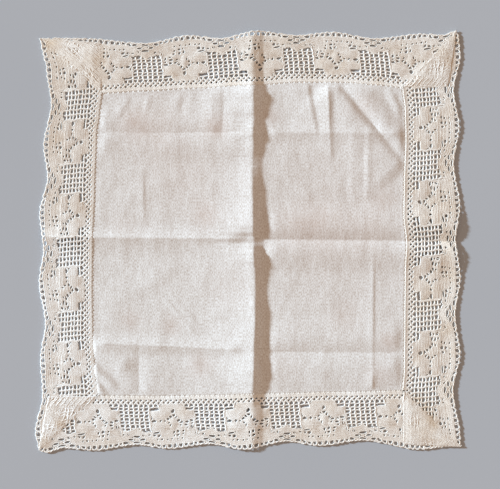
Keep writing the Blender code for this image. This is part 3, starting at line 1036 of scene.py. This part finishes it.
    def cloth(self, run: np.ndarray, depth: np.ndarray) -> np.ndarray:
        """Tell where the pattern is clothwork.

        Args:
            run: places along the strip.
            depth: places out from the hem.

        Returns:
            True for each place in clothwork.
        """
        local = np.mod(run, self.repeat)
        band = ((depth > read_row(self.trail_inner, local))
                & (depth < read_row(self.trail_outer, local)))
        beside = np.minimum(local, self.repeat - local)
        valley = ((beside < self.valley_half) & (depth > self.valley_from)
                  & (depth < self.edge_depth(run) - 0.9))
        return band | valley | within(self.flower, local, depth)

    def bent(self, run: np.ndarray, level: Places) -> np.ndarray:
        """Bend a clothwork thread to follow the trail and the scallops.

        Args:
            run: places along the strip.
            level: the depths that it would have if it lay straight.

        Returns:
            Its depth at each place.
        """
        local = np.mod(run, self.repeat)
        middle = 0.5 * (read_row(self.trail_inner, local)
                        + read_row(self.trail_outer, local))
        # Threads lie straight up to level 20, follow the trail from 38 to 43 and
        # follow the scallops from 49 on.
        trail = level + (middle - self.trail_level) * ease((level - 20.0) / 18.0)
        border = level + (self.edge_depth(run) - self.rim_level) * 0.95
        share = ease((level - 43.0) / 6.0)
        return trail + (border - trail) * share

    def step_from(self, eye: Eye, run: np.ndarray) -> np.ndarray:
        """Return how far along the strip places lie from the nearest such eye."""
        half = 0.5 * self.repeat
        return np.mod(run - eye.run + half, self.repeat) - half

    def parted(self, run: np.ndarray, depth: np.ndarray,
               lengthwise: bool) -> tuple[np.ndarray, np.ndarray]:
        """Push threads aside round the eyes.

        Args:
            run: places along the strip.
            depth: places out from the hem.
            lengthwise: True for threads along the strip, False for those across.

        Returns:
            The places after the threads have parted.
        """
        run, depth = run.copy(), depth.copy()
        for eye in self.eyes:
            if eye.long:
                continue
            # The threads beside an eye fill part of it, so it opens by a third more
            # than it shows.
            half_run = eye.half_run * 1.3 + self.thread_room
            half_depth = eye.half_depth * 1.35 + self.thread_room
            step = self.step_from(eye, run) / half_run
            rise = (depth - eye.depth) / half_depth
            beside, past = (rise, step) if lengthwise else (step, rise)
            opening = np.sqrt(np.maximum(1.0 - past * past, 0.0))
            moved = np.cbrt(np.abs(beside) ** 3 + opening ** 3)
            moved = np.where(beside >= 0.0, moved, -moved)
            shift = np.where(np.abs(beside) < 3.0, moved - beside, 0.0)
            if lengthwise:
                depth += shift * half_depth
            else:
                run += shift * half_run
        return run, depth

    def in_slot(self, run: np.ndarray, depth: np.ndarray) -> np.ndarray:
        """Tell which places lie in the long slots, where no thread crosses.

        Args:
            run: places along the strip.
            depth: places out from the hem.

        Returns:
            True for each place in a slot.
        """
        found = np.zeros(np.shape(run), bool)
        for eye in self.eyes:
            if eye.long:
                step = self.step_from(eye, run) / (eye.half_run + self.slot_room)
                rise = (depth - eye.depth) / (eye.half_depth + self.slot_room)
                found |= step * step + rise * rise < 1.0
        return found

    def dome(self, run: np.ndarray, depth: np.ndarray) -> np.ndarray:
        """Work out how far the petals swell above the net.

        Args:
            run: places along the strip.
            depth: places out from the hem.

        Returns:
            A height for each place.
        """
        local = np.mod(run, self.repeat)
        high = np.zeros(np.shape(run))
        for centre, level, half_run, half_depth in self.petals:
            out = (((local - centre) / half_run) ** 2
                   + ((depth - level) / half_depth) ** 2)
            high = np.maximum(high, self.petal_rise * np.clip(1.0 - out, 0.0, 1.0))
        return high


# -------------------------------------------------------------------- lace strip
@dataclass(frozen=True)
class Laid:
    """Places of a strip laid on the mat: where they are, and in which layer.

    flat is the strip itself, over is the top layer of its corner pleat, and under is
    the layer below that, where the strip is folded back.
    """

    path: np.ndarray
    flat: np.ndarray
    over: np.ndarray
    under: np.ndarray


@dataclass
class LaceStrip:
    """One side of the edging, worked from the mitre where it starts to the pleat.

    At its end the strip runs on over the start of the next side, is folded back at
    the outer edge and ends at the mitre, so three layers of lace lie there.  reach
    is where its threads start and end along the side.  The fields named for a
    thread are radii, and column_twist is a depth at which a column's pair crosses.
    In the pleat a row is a thread along it and a column one across it, which starts
    pleat_lead before the pleat because it leans.
    """

    side: SideLine
    after: SideLine
    chart: LaceChart
    folds: Folds
    reach: tuple[float, float] = (-203.0, 246.0)
    rest: float = 0.88
    over_rise: float = 1.0
    under_rise: float = 0.5
    stray: tuple[float, float] = (0.28, 0.22)
    net_thread: float = 0.6
    net_slack: float = 0.02
    column_thread: float = 0.72
    column_span: tuple[float, float] = (8.0, 38.4)
    column_row: float = 3.21
    column_twist: float = 12.11
    cloth_thread: float = 0.64
    cloth_pitch: float = 1.1
    cloth_span: tuple[float, float] = (7.6, 51.2)
    # The clothwork's tone is painted shade: it darkens the woven areas as the shade
    # between their close threads would.
    cloth_painted_shade: float = 0.14
    pair_thread: float = 0.5
    trail_thread: float = 0.52
    footing_thread: float = 0.58
    footing_span: tuple[float, float] = (8.2, 1.7)
    footing_length: float = 6.6
    stitches: Row = ((0.0, 0.56), (1.5, 0.44))
    pleat_thread: float = 0.62
    pleat_depth: float = 49.0
    pleat_row: float = 3.25
    pleat_column: float = 3.9
    pleat_lead: float = 44.0
    pleat_footing: tuple[float, float] = (8.4, 0.9)

    def __post_init__(self) -> None:
        """Work out the mitres and the fold, and start the skeins."""
        tip, corner = self.side.edge[-1], self.side.hem[-1]
        self.end_mitre = (corner, tip)
        self.start_mitre = (self.side.hem[0], self.side.edge[0])
        fold = self.after.pleat_point
        self.tip = np.array(tip)
        slant = self.tip - np.array((fold[1], -fold[0]))
        slant /= np.linalg.norm(slant)
        self.fold_normal = np.array((slant[1], -slant[0]))
        number = self.side.turns + 1
        self.ground = Skein(f"lace_ground_{number}")
        self.clothwork = Skein(f"lace_clothwork_{number}")
        self.border = Skein(f"lace_border_{number}")
        repeat = self.chart.repeat
        valleys = self.side.valleys
        self.run_knots = [repeat * k for k in range(-2, len(valleys) + 2)]
        self.along_knots = ([valleys[0] - 2 * repeat, valleys[0] - repeat]
                            + list(valleys)
                            + [valleys[-1] + repeat, valleys[-1] + 2 * repeat])
        self.run_start, self.run_end = (
            float(np.interp(along, self.along_knots, self.run_knots))
            for along in self.reach)
        self.plain_from = self.run_end
        if self.side.ends_plain:
            self.plain_from = repeat * (len(valleys) - 1) + self.chart.valley_half

    @staticmethod
    def along_line(line: Row, out: np.ndarray) -> np.ndarray:
        """Return where a slanting line lies along the side, for each out."""
        (a0, o0), (a1, o1) = line
        return a0 + (a1 - a0) * (out - o0) / (o1 - o0)

    def counts(self, length: float) -> range:
        """Return the numbers of the lengths that cover the whole strip."""
        return range(int(self.run_start // length), int(self.run_end // length) + 1)

    def spots(self, run: np.ndarray, depth: np.ndarray, rise: np.ndarray) -> Laid:
        """Lay chart places on the mat.

        Args:
            run: places along the strip.
            depth: places out from the hem.
            rise: heights above the resting surface.

        Returns:
            The points in the mat's frame and the layers that they lie in.
        """
        hand = ease(depth / 6.0)
        loose = run + hand * self.stray[0] * (np.sin(0.83 * depth + 0.29 * run)
                                              + np.sin(0.61 * run - 0.5 * depth))
        moved = depth + hand * self.stray[1] * np.sin(0.71 * run + 0.37 * depth)
        along = np.interp(loose, self.run_knots, self.along_knots)
        hem = read_row(self.side.hem, along)
        edge = read_row(self.side.edge, along)
        stretch = (edge - hem) / self.chart.edge_depth(run)
        out = hem + moved * np.where(moved > 0.0, stretch, 1.0)
        past = 0.7 * (along - self.along_line(self.end_mitre, out))
        beyond = ((along - self.tip[0]) * self.fold_normal[0]
                  + (out - self.tip[1]) * self.fold_normal[1] + 0.6)
        back = 2.0 * np.maximum(beyond, 0.0)
        along = along - back * self.fold_normal[0]
        out = out - back * self.fold_normal[1]
        folded = along - self.along_line(self.end_mitre, out)
        # From the mitre on, the strip climbs over the next side: less where its
        # footing is sewn down and towards its fold, and down again once it is
        # folded back.
        sunk = 1.0 - 0.7 * (1.0 - ease(moved / 9.0)) * ease(past / 10.0)
        climb = self.over_rise * ease((past + 4.0) / 10.0) * sunk
        climb = climb * (1.0 - 0.4 * ease((beyond + 7.0) / 7.0))
        climb = climb + (self.under_rise - climb) * ease(beyond / 0.9)
        x, y = self.side.place(along, out)
        z = self.folds.lift(x, y) + rise + climb
        started = along > self.along_line(self.start_mitre, out) + 0.3
        return Laid(np.stack([x, y, z], axis=-1), started & (past < 1.2),
                    (past > -0.6) & (beyond < 2.5) & (folded > -1.0),
                    (beyond > 0.5) & (folded > 1.0))

    def lay(self, skein: Skein, run: Places, depth: Places, rise: Places,
            radius: float, keep: np.ndarray | None = None, slack: float = 0.05,
            over: bool = False) -> None:
        """Lay a thread wherever it is kept, in as many lengths as that leaves.

        Args:
            skein: the skein that it joins.
            run: places along the strip.
            depth: places out from the hem.
            rise: heights above the resting surface.
            radius: the thread's radius.
            keep: True for the places to keep, or None for all.
            slack: how much straightening is allowed, in mm.
            over: True for the top layer of the pleat, False for the other two.
        """
        run, depth, rise = np.broadcast_arrays(run, depth, rise)
        laid = self.spots(run.astype(float), depth.astype(float), rise.astype(float))
        kept = laid.over if over else laid.flat | laid.under
        if keep is not None:
            kept = kept & keep
        for start, end in runs_of(kept):
            skein.lay(thinned(laid.path[start:end], slack), radius)

    def lay_pair(self, run: Places, depth: Places, rise: Places,
                 apart: tuple[Places, Places, Places], radius: float,
                 keep: np.ndarray | None = None, over: bool = False) -> None:
        """Lay a pair of the net's threads on either side of a path.

        Args:
            run: places along the strip.
            depth: places out from the hem.
            rise: heights above the resting surface.
            apart: how far each thread lies from the path, by run, depth and rise.
            radius: the threads' radius.
            keep: True for the places to keep, or None for all.
            over: True for the top layer of the pleat, False for the other two.
        """
        for way in (-1.0, 1.0):
            self.lay(self.ground, run + way * apart[0], depth + way * apart[1],
                     rise + way * apart[2], radius, keep, self.net_slack, over)

    def plait(self, run: np.ndarray, depth: np.ndarray, width: float,
              rise: float) -> None:
        """Lay two threads of the border twisted round each other along a path.

        Args:
            run: places along the strip.
            depth: places out from the hem.
            width: how wide the plait is.
            rise: how high it lies above the strip.
        """
        # Each strand winds once round the plait in 3.8 widths.
        step = np.hypot(np.gradient(run), np.gradient(depth))
        length = np.cumsum(step) - step[0]
        side_run, side_depth = -np.gradient(depth) / step, np.gradient(run) / step
        for strand in (0.0, math.pi):
            phase = math.pi * length / (1.9 * width) + strand
            shift = 0.22 * width * np.sin(phase)
            high = self.rest + rise + 0.12 * width * np.cos(phase)
            self.lay(self.border, run + side_run * shift, depth + side_depth * shift,
                     high, 0.29 * width, slack=0.03)

    @staticmethod
    def path(points: Row, step: float) -> tuple[np.ndarray, np.ndarray]:
        """Space places evenly along a path of chart points.

        Args:
            points: the path's corners, by run and depth.
            step: about how far apart the places lie.

        Returns:
            The run and the depth of each place.
        """
        corners = np.asarray(points, float)
        legs = np.linalg.norm(np.diff(corners, axis=0), axis=1)
        length = np.concatenate(([0.0], np.cumsum(legs)))
        count = max(int(round(length[-1] / step)), 2)
        places = np.linspace(0.0, length[-1], count + 1)
        return (np.interp(places, length, corners[:, 0]),
                np.interp(places, length, corners[:, 1]))

    def woven(self, run: np.ndarray, depth: np.ndarray) -> np.ndarray:
        """Tell where this strip is clothwork: one corner ends in plain net.

        Args:
            run: places along the strip.
            depth: places out from the hem.

        Returns:
            True for each place in clothwork.
        """
        band = depth < read_row(self.chart.trail_outer,
                                np.mod(run, self.chart.repeat))
        return np.where(run > self.plain_from,
                        (depth > self.chart.plain_trail) & band,
                        self.chart.cloth(run, depth))

    def work_net(self) -> None:
        """Work the net: twisted bars along the strip and across it."""
        chart = self.chart
        run = np.arange(self.run_start, self.run_end, chart.pitch / 4.0)
        for level in chart.bars:
            depth = level + 0.22 * np.sin(0.13 * run + level)
            keep = ~self.woven(run, depth) & (depth < read_row(
                chart.trail_inner, np.mod(run, chart.repeat)) + 0.5)
            phase = math.pi * (run - chart.lean(depth)) / chart.pitch
            self.lay_pair(run, depth, self.rest,
                          (0.0, 0.3 * np.sin(phase), 0.16 * np.cos(phase)),
                          self.net_thread, keep)
        level = np.linspace(*self.column_span, 30)
        for column in self.counts(chart.pitch):
            base = (column + 0.5) * chart.pitch + chart.lean(level)
            local = np.mod(base, chart.repeat)
            left_out = chart.opened(local, level) & (base < self.plain_from)
            keep = (~self.woven(base, level) & ~left_out
                    & (level < read_row(chart.trail_inner, local) + 0.5))
            phase = math.pi * (level - self.column_twist) / self.column_row
            self.lay_pair(base, level, self.rest,
                          (0.2 + 0.3 * np.sin(phase), 0.0, 0.14 * np.cos(phase)),
                          self.column_thread, keep)

    def work_pleat(self) -> None:
        """Work the pleat's top layer: leaning net, half filled with clothwork."""
        pitch, side = self.chart.pitch, self.side
        start = float(np.interp(self.end_mitre[0][0] - 4.0, self.along_knots,
                                self.run_knots))
        run = np.arange(start, self.run_end, pitch / 4.0)
        for level in np.arange(0.8, self.pleat_depth, self.pleat_row):
            depth = level + 0.5 * np.sin(0.31 * run + level)
            phase = math.pi * run / pitch + level
            self.lay_pair(run, depth, self.rest - 0.06 - side.pleat_rise,
                          (0.0, 0.36 * np.sin(phase), 0.14 * np.cos(phase)),
                          self.footing_thread, over=True)
        level = np.linspace(0.2, self.pleat_depth + 1.0, 43)
        for base in np.arange(start - self.pleat_lead, self.run_end,
                              self.pleat_column):
            slant = (base + side.pleat_lean * level
                     + 0.9 * np.sin(0.27 * level + 0.5 * base))
            phase = math.pi * (level + 0.3 * base) / self.pleat_row
            self.lay_pair(slant, level, self.rest - 0.12,
                          (0.3 + 0.25 * np.sin(phase), 0.0, 0.16 * np.cos(phase)),
                          self.pleat_thread, over=True)
        top, foot = self.pleat_footing
        level = np.linspace(top, foot, 8)
        crossed = 1.5 * pitch * (top - level) / (top - foot)
        for base in np.arange(start, self.run_end, pitch):
            self.lay_pair(base, level, self.rest + 0.1, (crossed, 0.0, -0.15),
                          self.pair_thread, over=True)
        self.fill_pleat(start)

    def fill_pleat(self, start: float) -> None:
        """Fill the pleat's net with loose clothwork, here and there up to its top.

        Args:
            start: where the pleat starts along the strip.
        """
        run = np.arange(start, self.run_end, 1.3)
        level = np.linspace(0.4, self.pleat_depth + 0.6, 38)
        lean, fill = self.side.pleat_lean, self.side.pleat_fill
        places = [(run, deep, -self.side.pleat_rise)
                  for deep in np.arange(0.6, self.pleat_depth, 1.2)]
        places += [(base + lean * level, level, 0.0) for base in
                   np.arange(start - self.pleat_lead, self.run_end, 1.35)]
        for across, depth, rise in places:
            patch = fill + (np.sin(0.19 * across + 0.14 * depth)
                            + np.sin(0.12 * across - 0.25 * depth + 1.0))
            high = self.rest - 0.34 + 0.36 * ease(0.5 + 0.6 * patch) + 0.14 * fill
            self.lay(self.clothwork, across, depth, high + rise, self.pair_thread,
                     patch > -1.3, over=True)

    def work_footing(self) -> None:
        """Work the crossed footing, its cords and the sewing to the linen."""
        chart = self.chart
        high = self.footing_span[0]
        level = np.linspace(*self.footing_span, 7)
        hem_start, hem_end = self.side.hem[0][0], self.side.hem[-1][0]
        for column in self.counts(chart.pitch):
            top = (column + 0.5) * chart.pitch + float(chart.lean(np.array(high)))
            for way in (-1.0, 1.0):
                slant = top + way * 1.5 * chart.pitch * (high - level) / (
                    self.footing_length)
                weave = 0.15 * np.sin(math.pi * (high - level) / 2.2) * way
                for beside in (-0.45, 0.45):
                    self.lay(self.ground, slant + beside, level, self.rest + weave,
                             self.footing_thread, slack=self.net_slack)
            place = float(np.interp(top, self.run_knots, self.along_knots))
            if not hem_start + 1.0 < place < hem_end - 1.0:
                continue
            for shift, thick in self.stitches:
                stitch_run, stitch_depth = self.path(
                    ((top - 0.9 + shift, 1.5), (top - 0.1 + shift, 0.2),
                     (top + 0.7 + shift, -1.1)), 0.8)
                arch = np.sin(np.linspace(0.0, math.pi, len(stitch_run)))
                self.lay(self.border, stitch_run, stitch_depth,
                         self.rest + 0.02 + 0.24 * arch, thick)
        run = np.arange(self.run_start, self.run_end, 1.2)
        along = np.interp(run, self.run_knots, self.along_knots)
        beside = (along > hem_start) & (along < hem_end)
        for depth, high, thick in ((0.1, 0.22, self.side.hem_cord), (0.95, 0.2, 0.48),
                                   (1.6, 0.12, 0.45), (2.2, 0.12, 0.45)):
            self.lay(self.border, run, depth, self.rest + high, thick, beside)

    def work_clothwork(self) -> None:
        """Weave the petals and the trail, with threads parted round the eyes."""
        chart, pitch = self.chart, self.cloth_pitch
        run = np.arange(self.run_start, self.run_end, 1.2)
        levels = np.arange(*self.cloth_span, pitch)
        for level in levels:
            depth = chart.bent(run, level)
            keep = self.woven(run, depth)
            moved, depth = chart.parted(run, depth, lengthwise=True)
            keep &= ~chart.in_slot(moved, depth)
            rib = 0.05 * math.sin(2.5 * level)
            self.lay(self.clothwork, moved, depth,
                     self.rest + chart.dome(moved, depth) + rib, self.cloth_thread,
                     keep)
        over = np.where(np.arange(len(levels)) % 2 == 0, 1.0, -1.0)
        for count, place in enumerate(np.arange(self.run_start, self.run_end, pitch)):
            across = np.full(len(levels), place)
            depth = chart.bent(across, levels)
            keep = self.woven(across, depth)
            keep &= ~chart.in_slot(across, depth)
            moved, depth = chart.parted(across, depth, lengthwise=False)
            wave = 0.07 * over * (1.0 if count % 2 == 0 else -1.0) - 0.05
            self.lay(self.clothwork, moved, depth,
                     self.rest + chart.dome(moved, depth) + wave, self.cloth_thread,
                     keep, slack=0.0)

    def work_outlines(self) -> None:
        """Lay the pairs that close the clothwork along its edges."""
        chart = self.chart
        for index in self.counts(chart.repeat):
            start = index * chart.repeat
            self.ring_slots(start)
            if start + chart.flower_span[0] > self.plain_from:
                continue
            for part in (chart.flower[:13], chart.flower[15:] + chart.flower[:1]):
                run, depth = self.path(part, 1.6)
                self.lay(self.clothwork, run + start, depth, self.rest + 0.1,
                         self.pair_thread)
        run = np.arange(self.run_start, self.run_end, 1.4)
        local = np.mod(run, chart.repeat)
        first, last = chart.flower_span
        open_edge = (local > first) & (local < last)
        for row, keep in ((chart.trail_inner, None), (chart.trail_outer, open_edge)):
            self.lay(self.clothwork, run, read_row(row, local), self.rest + 0.12,
                     self.trail_thread, keep)

    def ring_slots(self, start: float) -> None:
        """Lay a smooth pair round each long slot of one repeat.

        Args:
            start: where the repeat starts along the strip.
        """
        turn = np.linspace(0.0, 2.0 * math.pi, 19)
        wide = np.abs(np.cos(turn)) ** 0.8 * np.sign(np.cos(turn))
        for eye in self.chart.eyes:
            if eye.long:
                self.lay(self.clothwork, start + eye.run + wide * (eye.half_run + 0.5),
                         eye.depth + np.sin(turn) * (eye.half_depth + 0.5),
                         self.rest + 0.22, self.pair_thread)

    def work_border(self) -> None:
        """Work the picot loops of the scallops and the cords of the valleys."""
        chart = self.chart
        for index in self.counts(chart.repeat):
            start = index * chart.repeat
            for centre in chart.picots:
                edge = float(chart.edge_depth(np.array(centre)))
                foot = float(read_row(chart.trail_outer, np.array(centre)))
                # A loop stands off the trail, narrow at its foot, and the loops
                # beside the middle of the scallop fan out.
                lean = -(centre - chart.fan_middle) / chart.fan_reach
                loop = ((centre - 2.0 - lean, foot - 0.5),
                        (centre - 2.1 - 0.3 * lean, edge - 3.0),
                        (centre - 1.5, edge - 1.5), (centre, edge - 0.95),
                        (centre + 1.5, edge - 1.5),
                        (centre + 2.1 - 0.3 * lean, edge - 3.0),
                        (centre + 2.0 - lean, foot - 0.5))
                run, depth = self.path(loop, 0.9)
                self.plait(run + start, depth, 1.65, 0.1)
            for first, last, inset, width, rise in (
                    (-15.6, 15.7, 0.95, 1.9, 0.15), (14.5, 56.8, 1.45, 1.3, 0.1)):
                run = np.arange(first, last, 1.1)
                self.plait(run + start, chart.edge_depth(run) - inset, width, rise)

    def work(self) -> None:
        """Work the whole strip."""
        self.work_net()
        self.work_pleat()
        self.work_footing()
        self.work_clothwork()
        self.work_outlines()
        self.work_border()

    def dress(self, cotton: bpy.types.Material) -> list[bpy.types.Object]:
        """Wind the skeins into pieces and dress them.

        Args:
            cotton: the thread's finish.

        Returns:
            The pieces of this side.
        """
        # The clothwork's ground tone is painted shade, darker than the net and border.
        return [finish_piece(skein.wind(), cotton, "lace_edging",
                             LACE_STAINS_AND_PAINTED_LIGHT, tone)
                for skein, tone in ((self.ground, 0.0),
                                    (self.clothwork, self.cloth_painted_shade),
                                    (self.border, 0.0))]


@dataclass
class LinenPanel:
    """The linen square, its narrow hem turned under, lying in its press folds.

    Its grid is closer beside the sharp creases, by closeness and over close_reach.
    """

    folds: Folds
    width: float = 294.0
    cells: int = 214
    closeness: float = 2.2
    close_reach: float = 5.0
    close_columns: tuple[float, ...] = (-104.0, -24.0, 4.0, 77.0, 118.0)
    close_rows: tuple[float, ...] = (-105.0, -99.0, 2.5, 103.4)
    thickness: float = 0.7
    rest: float = 0.5
    seam_gap: float = 0.3
    hem_width: float = 4.2
    hem_rise: float = 0.06
    seam_rise: float = 0.14
    stains_and_painted_shade: tuple[StainOrPaintedLight, ...] = (
        StainOrPaintedLight(-109.0, 113.0, 12.0, 0.22), StainOrPaintedLight(-31.0, 108.0, 10.0, 0.25),
        StainOrPaintedLight(-41.0, 25.0, 12.0, 0.2), StainOrPaintedLight(-74.0, -80.0, 9.0, 0.2),
        StainOrPaintedLight(-112.0, -75.0, 9.0, 0.18), StainOrPaintedLight(-46.0, -117.0, 11.0, 0.2),
        StainOrPaintedLight(-90.0, 108.0, 22.0, 0.1), StainOrPaintedLight(-60.0, 60.0, 30.0, 0.06),
        # The two broad marks on this line (reach 70 and 110 mm) are painted shade,
        # darkening the upper left and the right of the panel against its brighter
        # lower left.
        StainOrPaintedLight(-80.0, 90.0, 70.0, 0.1), StainOrPaintedLight(90.0, 30.0, 110.0, 0.14),
        StainOrPaintedLight(60.0, 20.0, 16.0, 0.1), StainOrPaintedLight(90.0, -70.0, 14.0, 0.1),
        StainOrPaintedLight(20.0, 120.0, 9.0, 0.15), StainOrPaintedLight(128.0, 40.0, 11.0, 0.12),
        StainOrPaintedLight(110.0, 128.0, 12.0, 0.15), StainOrPaintedLight(75.0, 8.0, 26.0, 0.1),
        StainOrPaintedLight(40.0, 10.0, 18.0, 0.1), StainOrPaintedLight(115.0, 10.0, 18.0, 0.1),
        StainOrPaintedLight(132.0, -95.0, 9.0, 0.22), StainOrPaintedLight(-120.0, 14.0, 14.0, 0.08),
        StainOrPaintedLight(-20.0, -40.0, 26.0, 0.05), StainOrPaintedLight(30.0, -120.0, 20.0, 0.08),
        StainOrPaintedLight(125.0, -128.0, 13.0, 0.15))

    def boundary(self, side: SideLine, share: np.ndarray) -> np.ndarray:
        """Find points along one side of the hem.

        Args:
            side: the side.
            share: shares of its length, from its start.

        Returns:
            The points in the mat's frame, one in each row.
        """
        along = side.hem[0][0] + (side.hem[-1][0] - side.hem[0][0]) * share
        x, y = side.place(along, read_row(side.hem, along))
        return np.stack([x, y], axis=-1)

    def spread(self, share_x: np.ndarray, share_y: np.ndarray) -> np.ndarray:
        """Spread places of a unit square between the four sides of the hem.

        Args:
            share_x: how far right they lie in the square.
            share_y: how far up they lie in the square.

        Returns:
            The places in the mat's frame, one in each row.
        """
        top, right, bottom, left = SIDES
        north = self.boundary(top, share_x)
        south = self.boundary(bottom, 1.0 - share_x)
        east = self.boundary(right, 1.0 - share_y)
        west = self.boundary(left, share_y)
        sx, sy = share_x[:, None], share_y[:, None]
        corners = [self.boundary(side, np.zeros(1))[0] for side in SIDES]
        flat = (sx * sy * corners[1] + (1.0 - sx) * sy * corners[0]
                + sx * (1.0 - sy) * corners[2] + (1.0 - sx) * (1.0 - sy) * corners[3])
        place = ((1.0 - sy) * south + sy * north + (1.0 - sx) * west + sx * east
                 - flat)
        return place * (1.0 - 2.0 * self.seam_gap / self.width)

    def gathered(self, share: np.ndarray, lines: tuple[float, ...]) -> np.ndarray:
        """Move even shares of the panel closer together near its sharp creases.

        Args:
            share: places from 0 to 1 across the panel.
            lines: where the creases are, in millimetres from the middle.

        Returns:
            The moved places.
        """
        even = np.linspace(0.0, 1.0, 1201)
        weight = np.ones(len(even))
        for line in lines:
            away = ((even - 0.5) * self.width - line) / self.close_reach
            weight += self.closeness * np.exp(-away ** 2)
        taken = np.cumsum(weight)
        taken = (taken - taken[0]) / (taken[-1] - taken[0])
        return np.interp(share, taken, even)

    def build(self) -> bpy.types.Object:
        """Make the panel from a grid laid between its hems and on its folds.

        Returns:
            The panel, linked to the scene.
        """
        mesh = new_grid("linen_cloth", self.cells, 0.5)
        grid = vertex_places(mesh)[:, :2] * MM + 0.5
        place = self.spread(self.gathered(grid[:, 0], self.close_columns),
                            self.gathered(grid[:, 1], self.close_rows))
        x, y = place[:, 0], place[:, 1]
        inner = self.folds.inside_hem(x, y)
        turned = self.hem_rise * (1.0 - ease((inner - self.hem_width + 0.6) / 1.2))
        turned += self.seam_rise * (1.0 - ease(inner / 3.2))
        z = self.folds.lift(x, y) + self.rest + turned
        spots = np.stack([x, y, z], axis=-1) * MM
        mesh.vertices.foreach_set("co", spots.astype(np.float32).ravel())
        mesh.update()
        return new_object(mesh.name, mesh)

    def dress(self, linen: bpy.types.Material) -> bpy.types.Object:
        """Build the panel, mark its stains and painted shade and give it its
        thickness.

        Args:
            linen: the cloth's finish.

        Returns:
            The finished panel.
        """
        item = finish_piece(self.build(), linen, "linen_panel", self.stains_and_painted_shade)
        wall = item.modifiers.new("thickness", "SOLIDIFY")
        wall.thickness = self.thickness * MM
        wall.offset = 0.0
        return item


@dataclass(frozen=True)
class Studio:
    """The floor, a low soft key from the left, a warm fill and the camera."""

    floor_half: float = 1.6
    centre: tuple[float, float] = (1.7, -2.9)
    camera_height: float = 1500.0
    view_width: float = 475.0
    sensor: float = 36.0
    key_elevation: float = 18.5
    key_turn: float = 20.0
    key_spread: float = 6.0
    key_colour: tuple[float, float, float] = (0.688, 0.86, 1.0)
    key_strength: float = 5.8
    fill_colour: tuple[float, float, float] = (0.468, 0.351, 0.27)

    def add_floor(self) -> bpy.types.Object:
        """Add the plain pale floor under the mat.

        Returns:
            The floor.
        """
        mesh = new_grid("floor", 8, self.floor_half)
        mesh.materials.append(TableTop().make())
        floor = new_object("floor", mesh)
        return floor

    def add_light(self) -> None:
        """Add the low key and the fill."""
        key = bpy.data.lights.new("key", "SUN")
        key.energy = self.key_strength
        key.color = self.key_colour
        key.angle = math.radians(self.key_spread)
        lamp = new_object("key", key)
        turn, high = math.radians(self.key_turn), math.radians(self.key_elevation)
        source = Vector((-math.cos(turn) * math.cos(high),
                         math.sin(turn) * math.cos(high), math.sin(high)))
        lamp.rotation_euler = source.to_track_quat("Z", "Y").to_euler()
        world = bpy.data.worlds.new("fill")
        world.use_nodes = True
        back = world.node_tree.nodes["Background"]
        back.inputs["Color"].default_value = (*self.fill_colour, 1.0)
        back.inputs["Strength"].default_value = 1.0
        bpy.context.scene.world = world
        bpy.context.scene.view_settings.view_transform = "Standard"

    def add_camera(self) -> None:
        """Add the camera straight above the mat."""
        lens = bpy.data.cameras.new("overhead")
        lens.sensor_width = self.sensor
        lens.lens = self.sensor * self.camera_height / self.view_width
        camera = new_object("overhead", lens)
        camera.location = (self.centre[0] * MM, self.centre[1] * MM,
                           self.camera_height * MM)
        bpy.context.scene.camera = camera


def main() -> None:
    """Build the mat, report each piece and set the stage."""
    cotton, linen = LaceCotton().make(), WashedLinen().make()
    chart = LaceChart()
    lace = []
    for index, side in enumerate(SIDES):
        strip = LaceStrip(side, SIDES[(index + 1) % len(SIDES)], chart, FOLDS)
        strip.work()
        lace += strip.dress(cotton)
    panel = LinenPanel(FOLDS).dress(linen)
    studio = Studio()
    floor = studio.add_floor()
    studio.add_light()
    studio.add_camera()


if __name__ == "__main__":
    main()
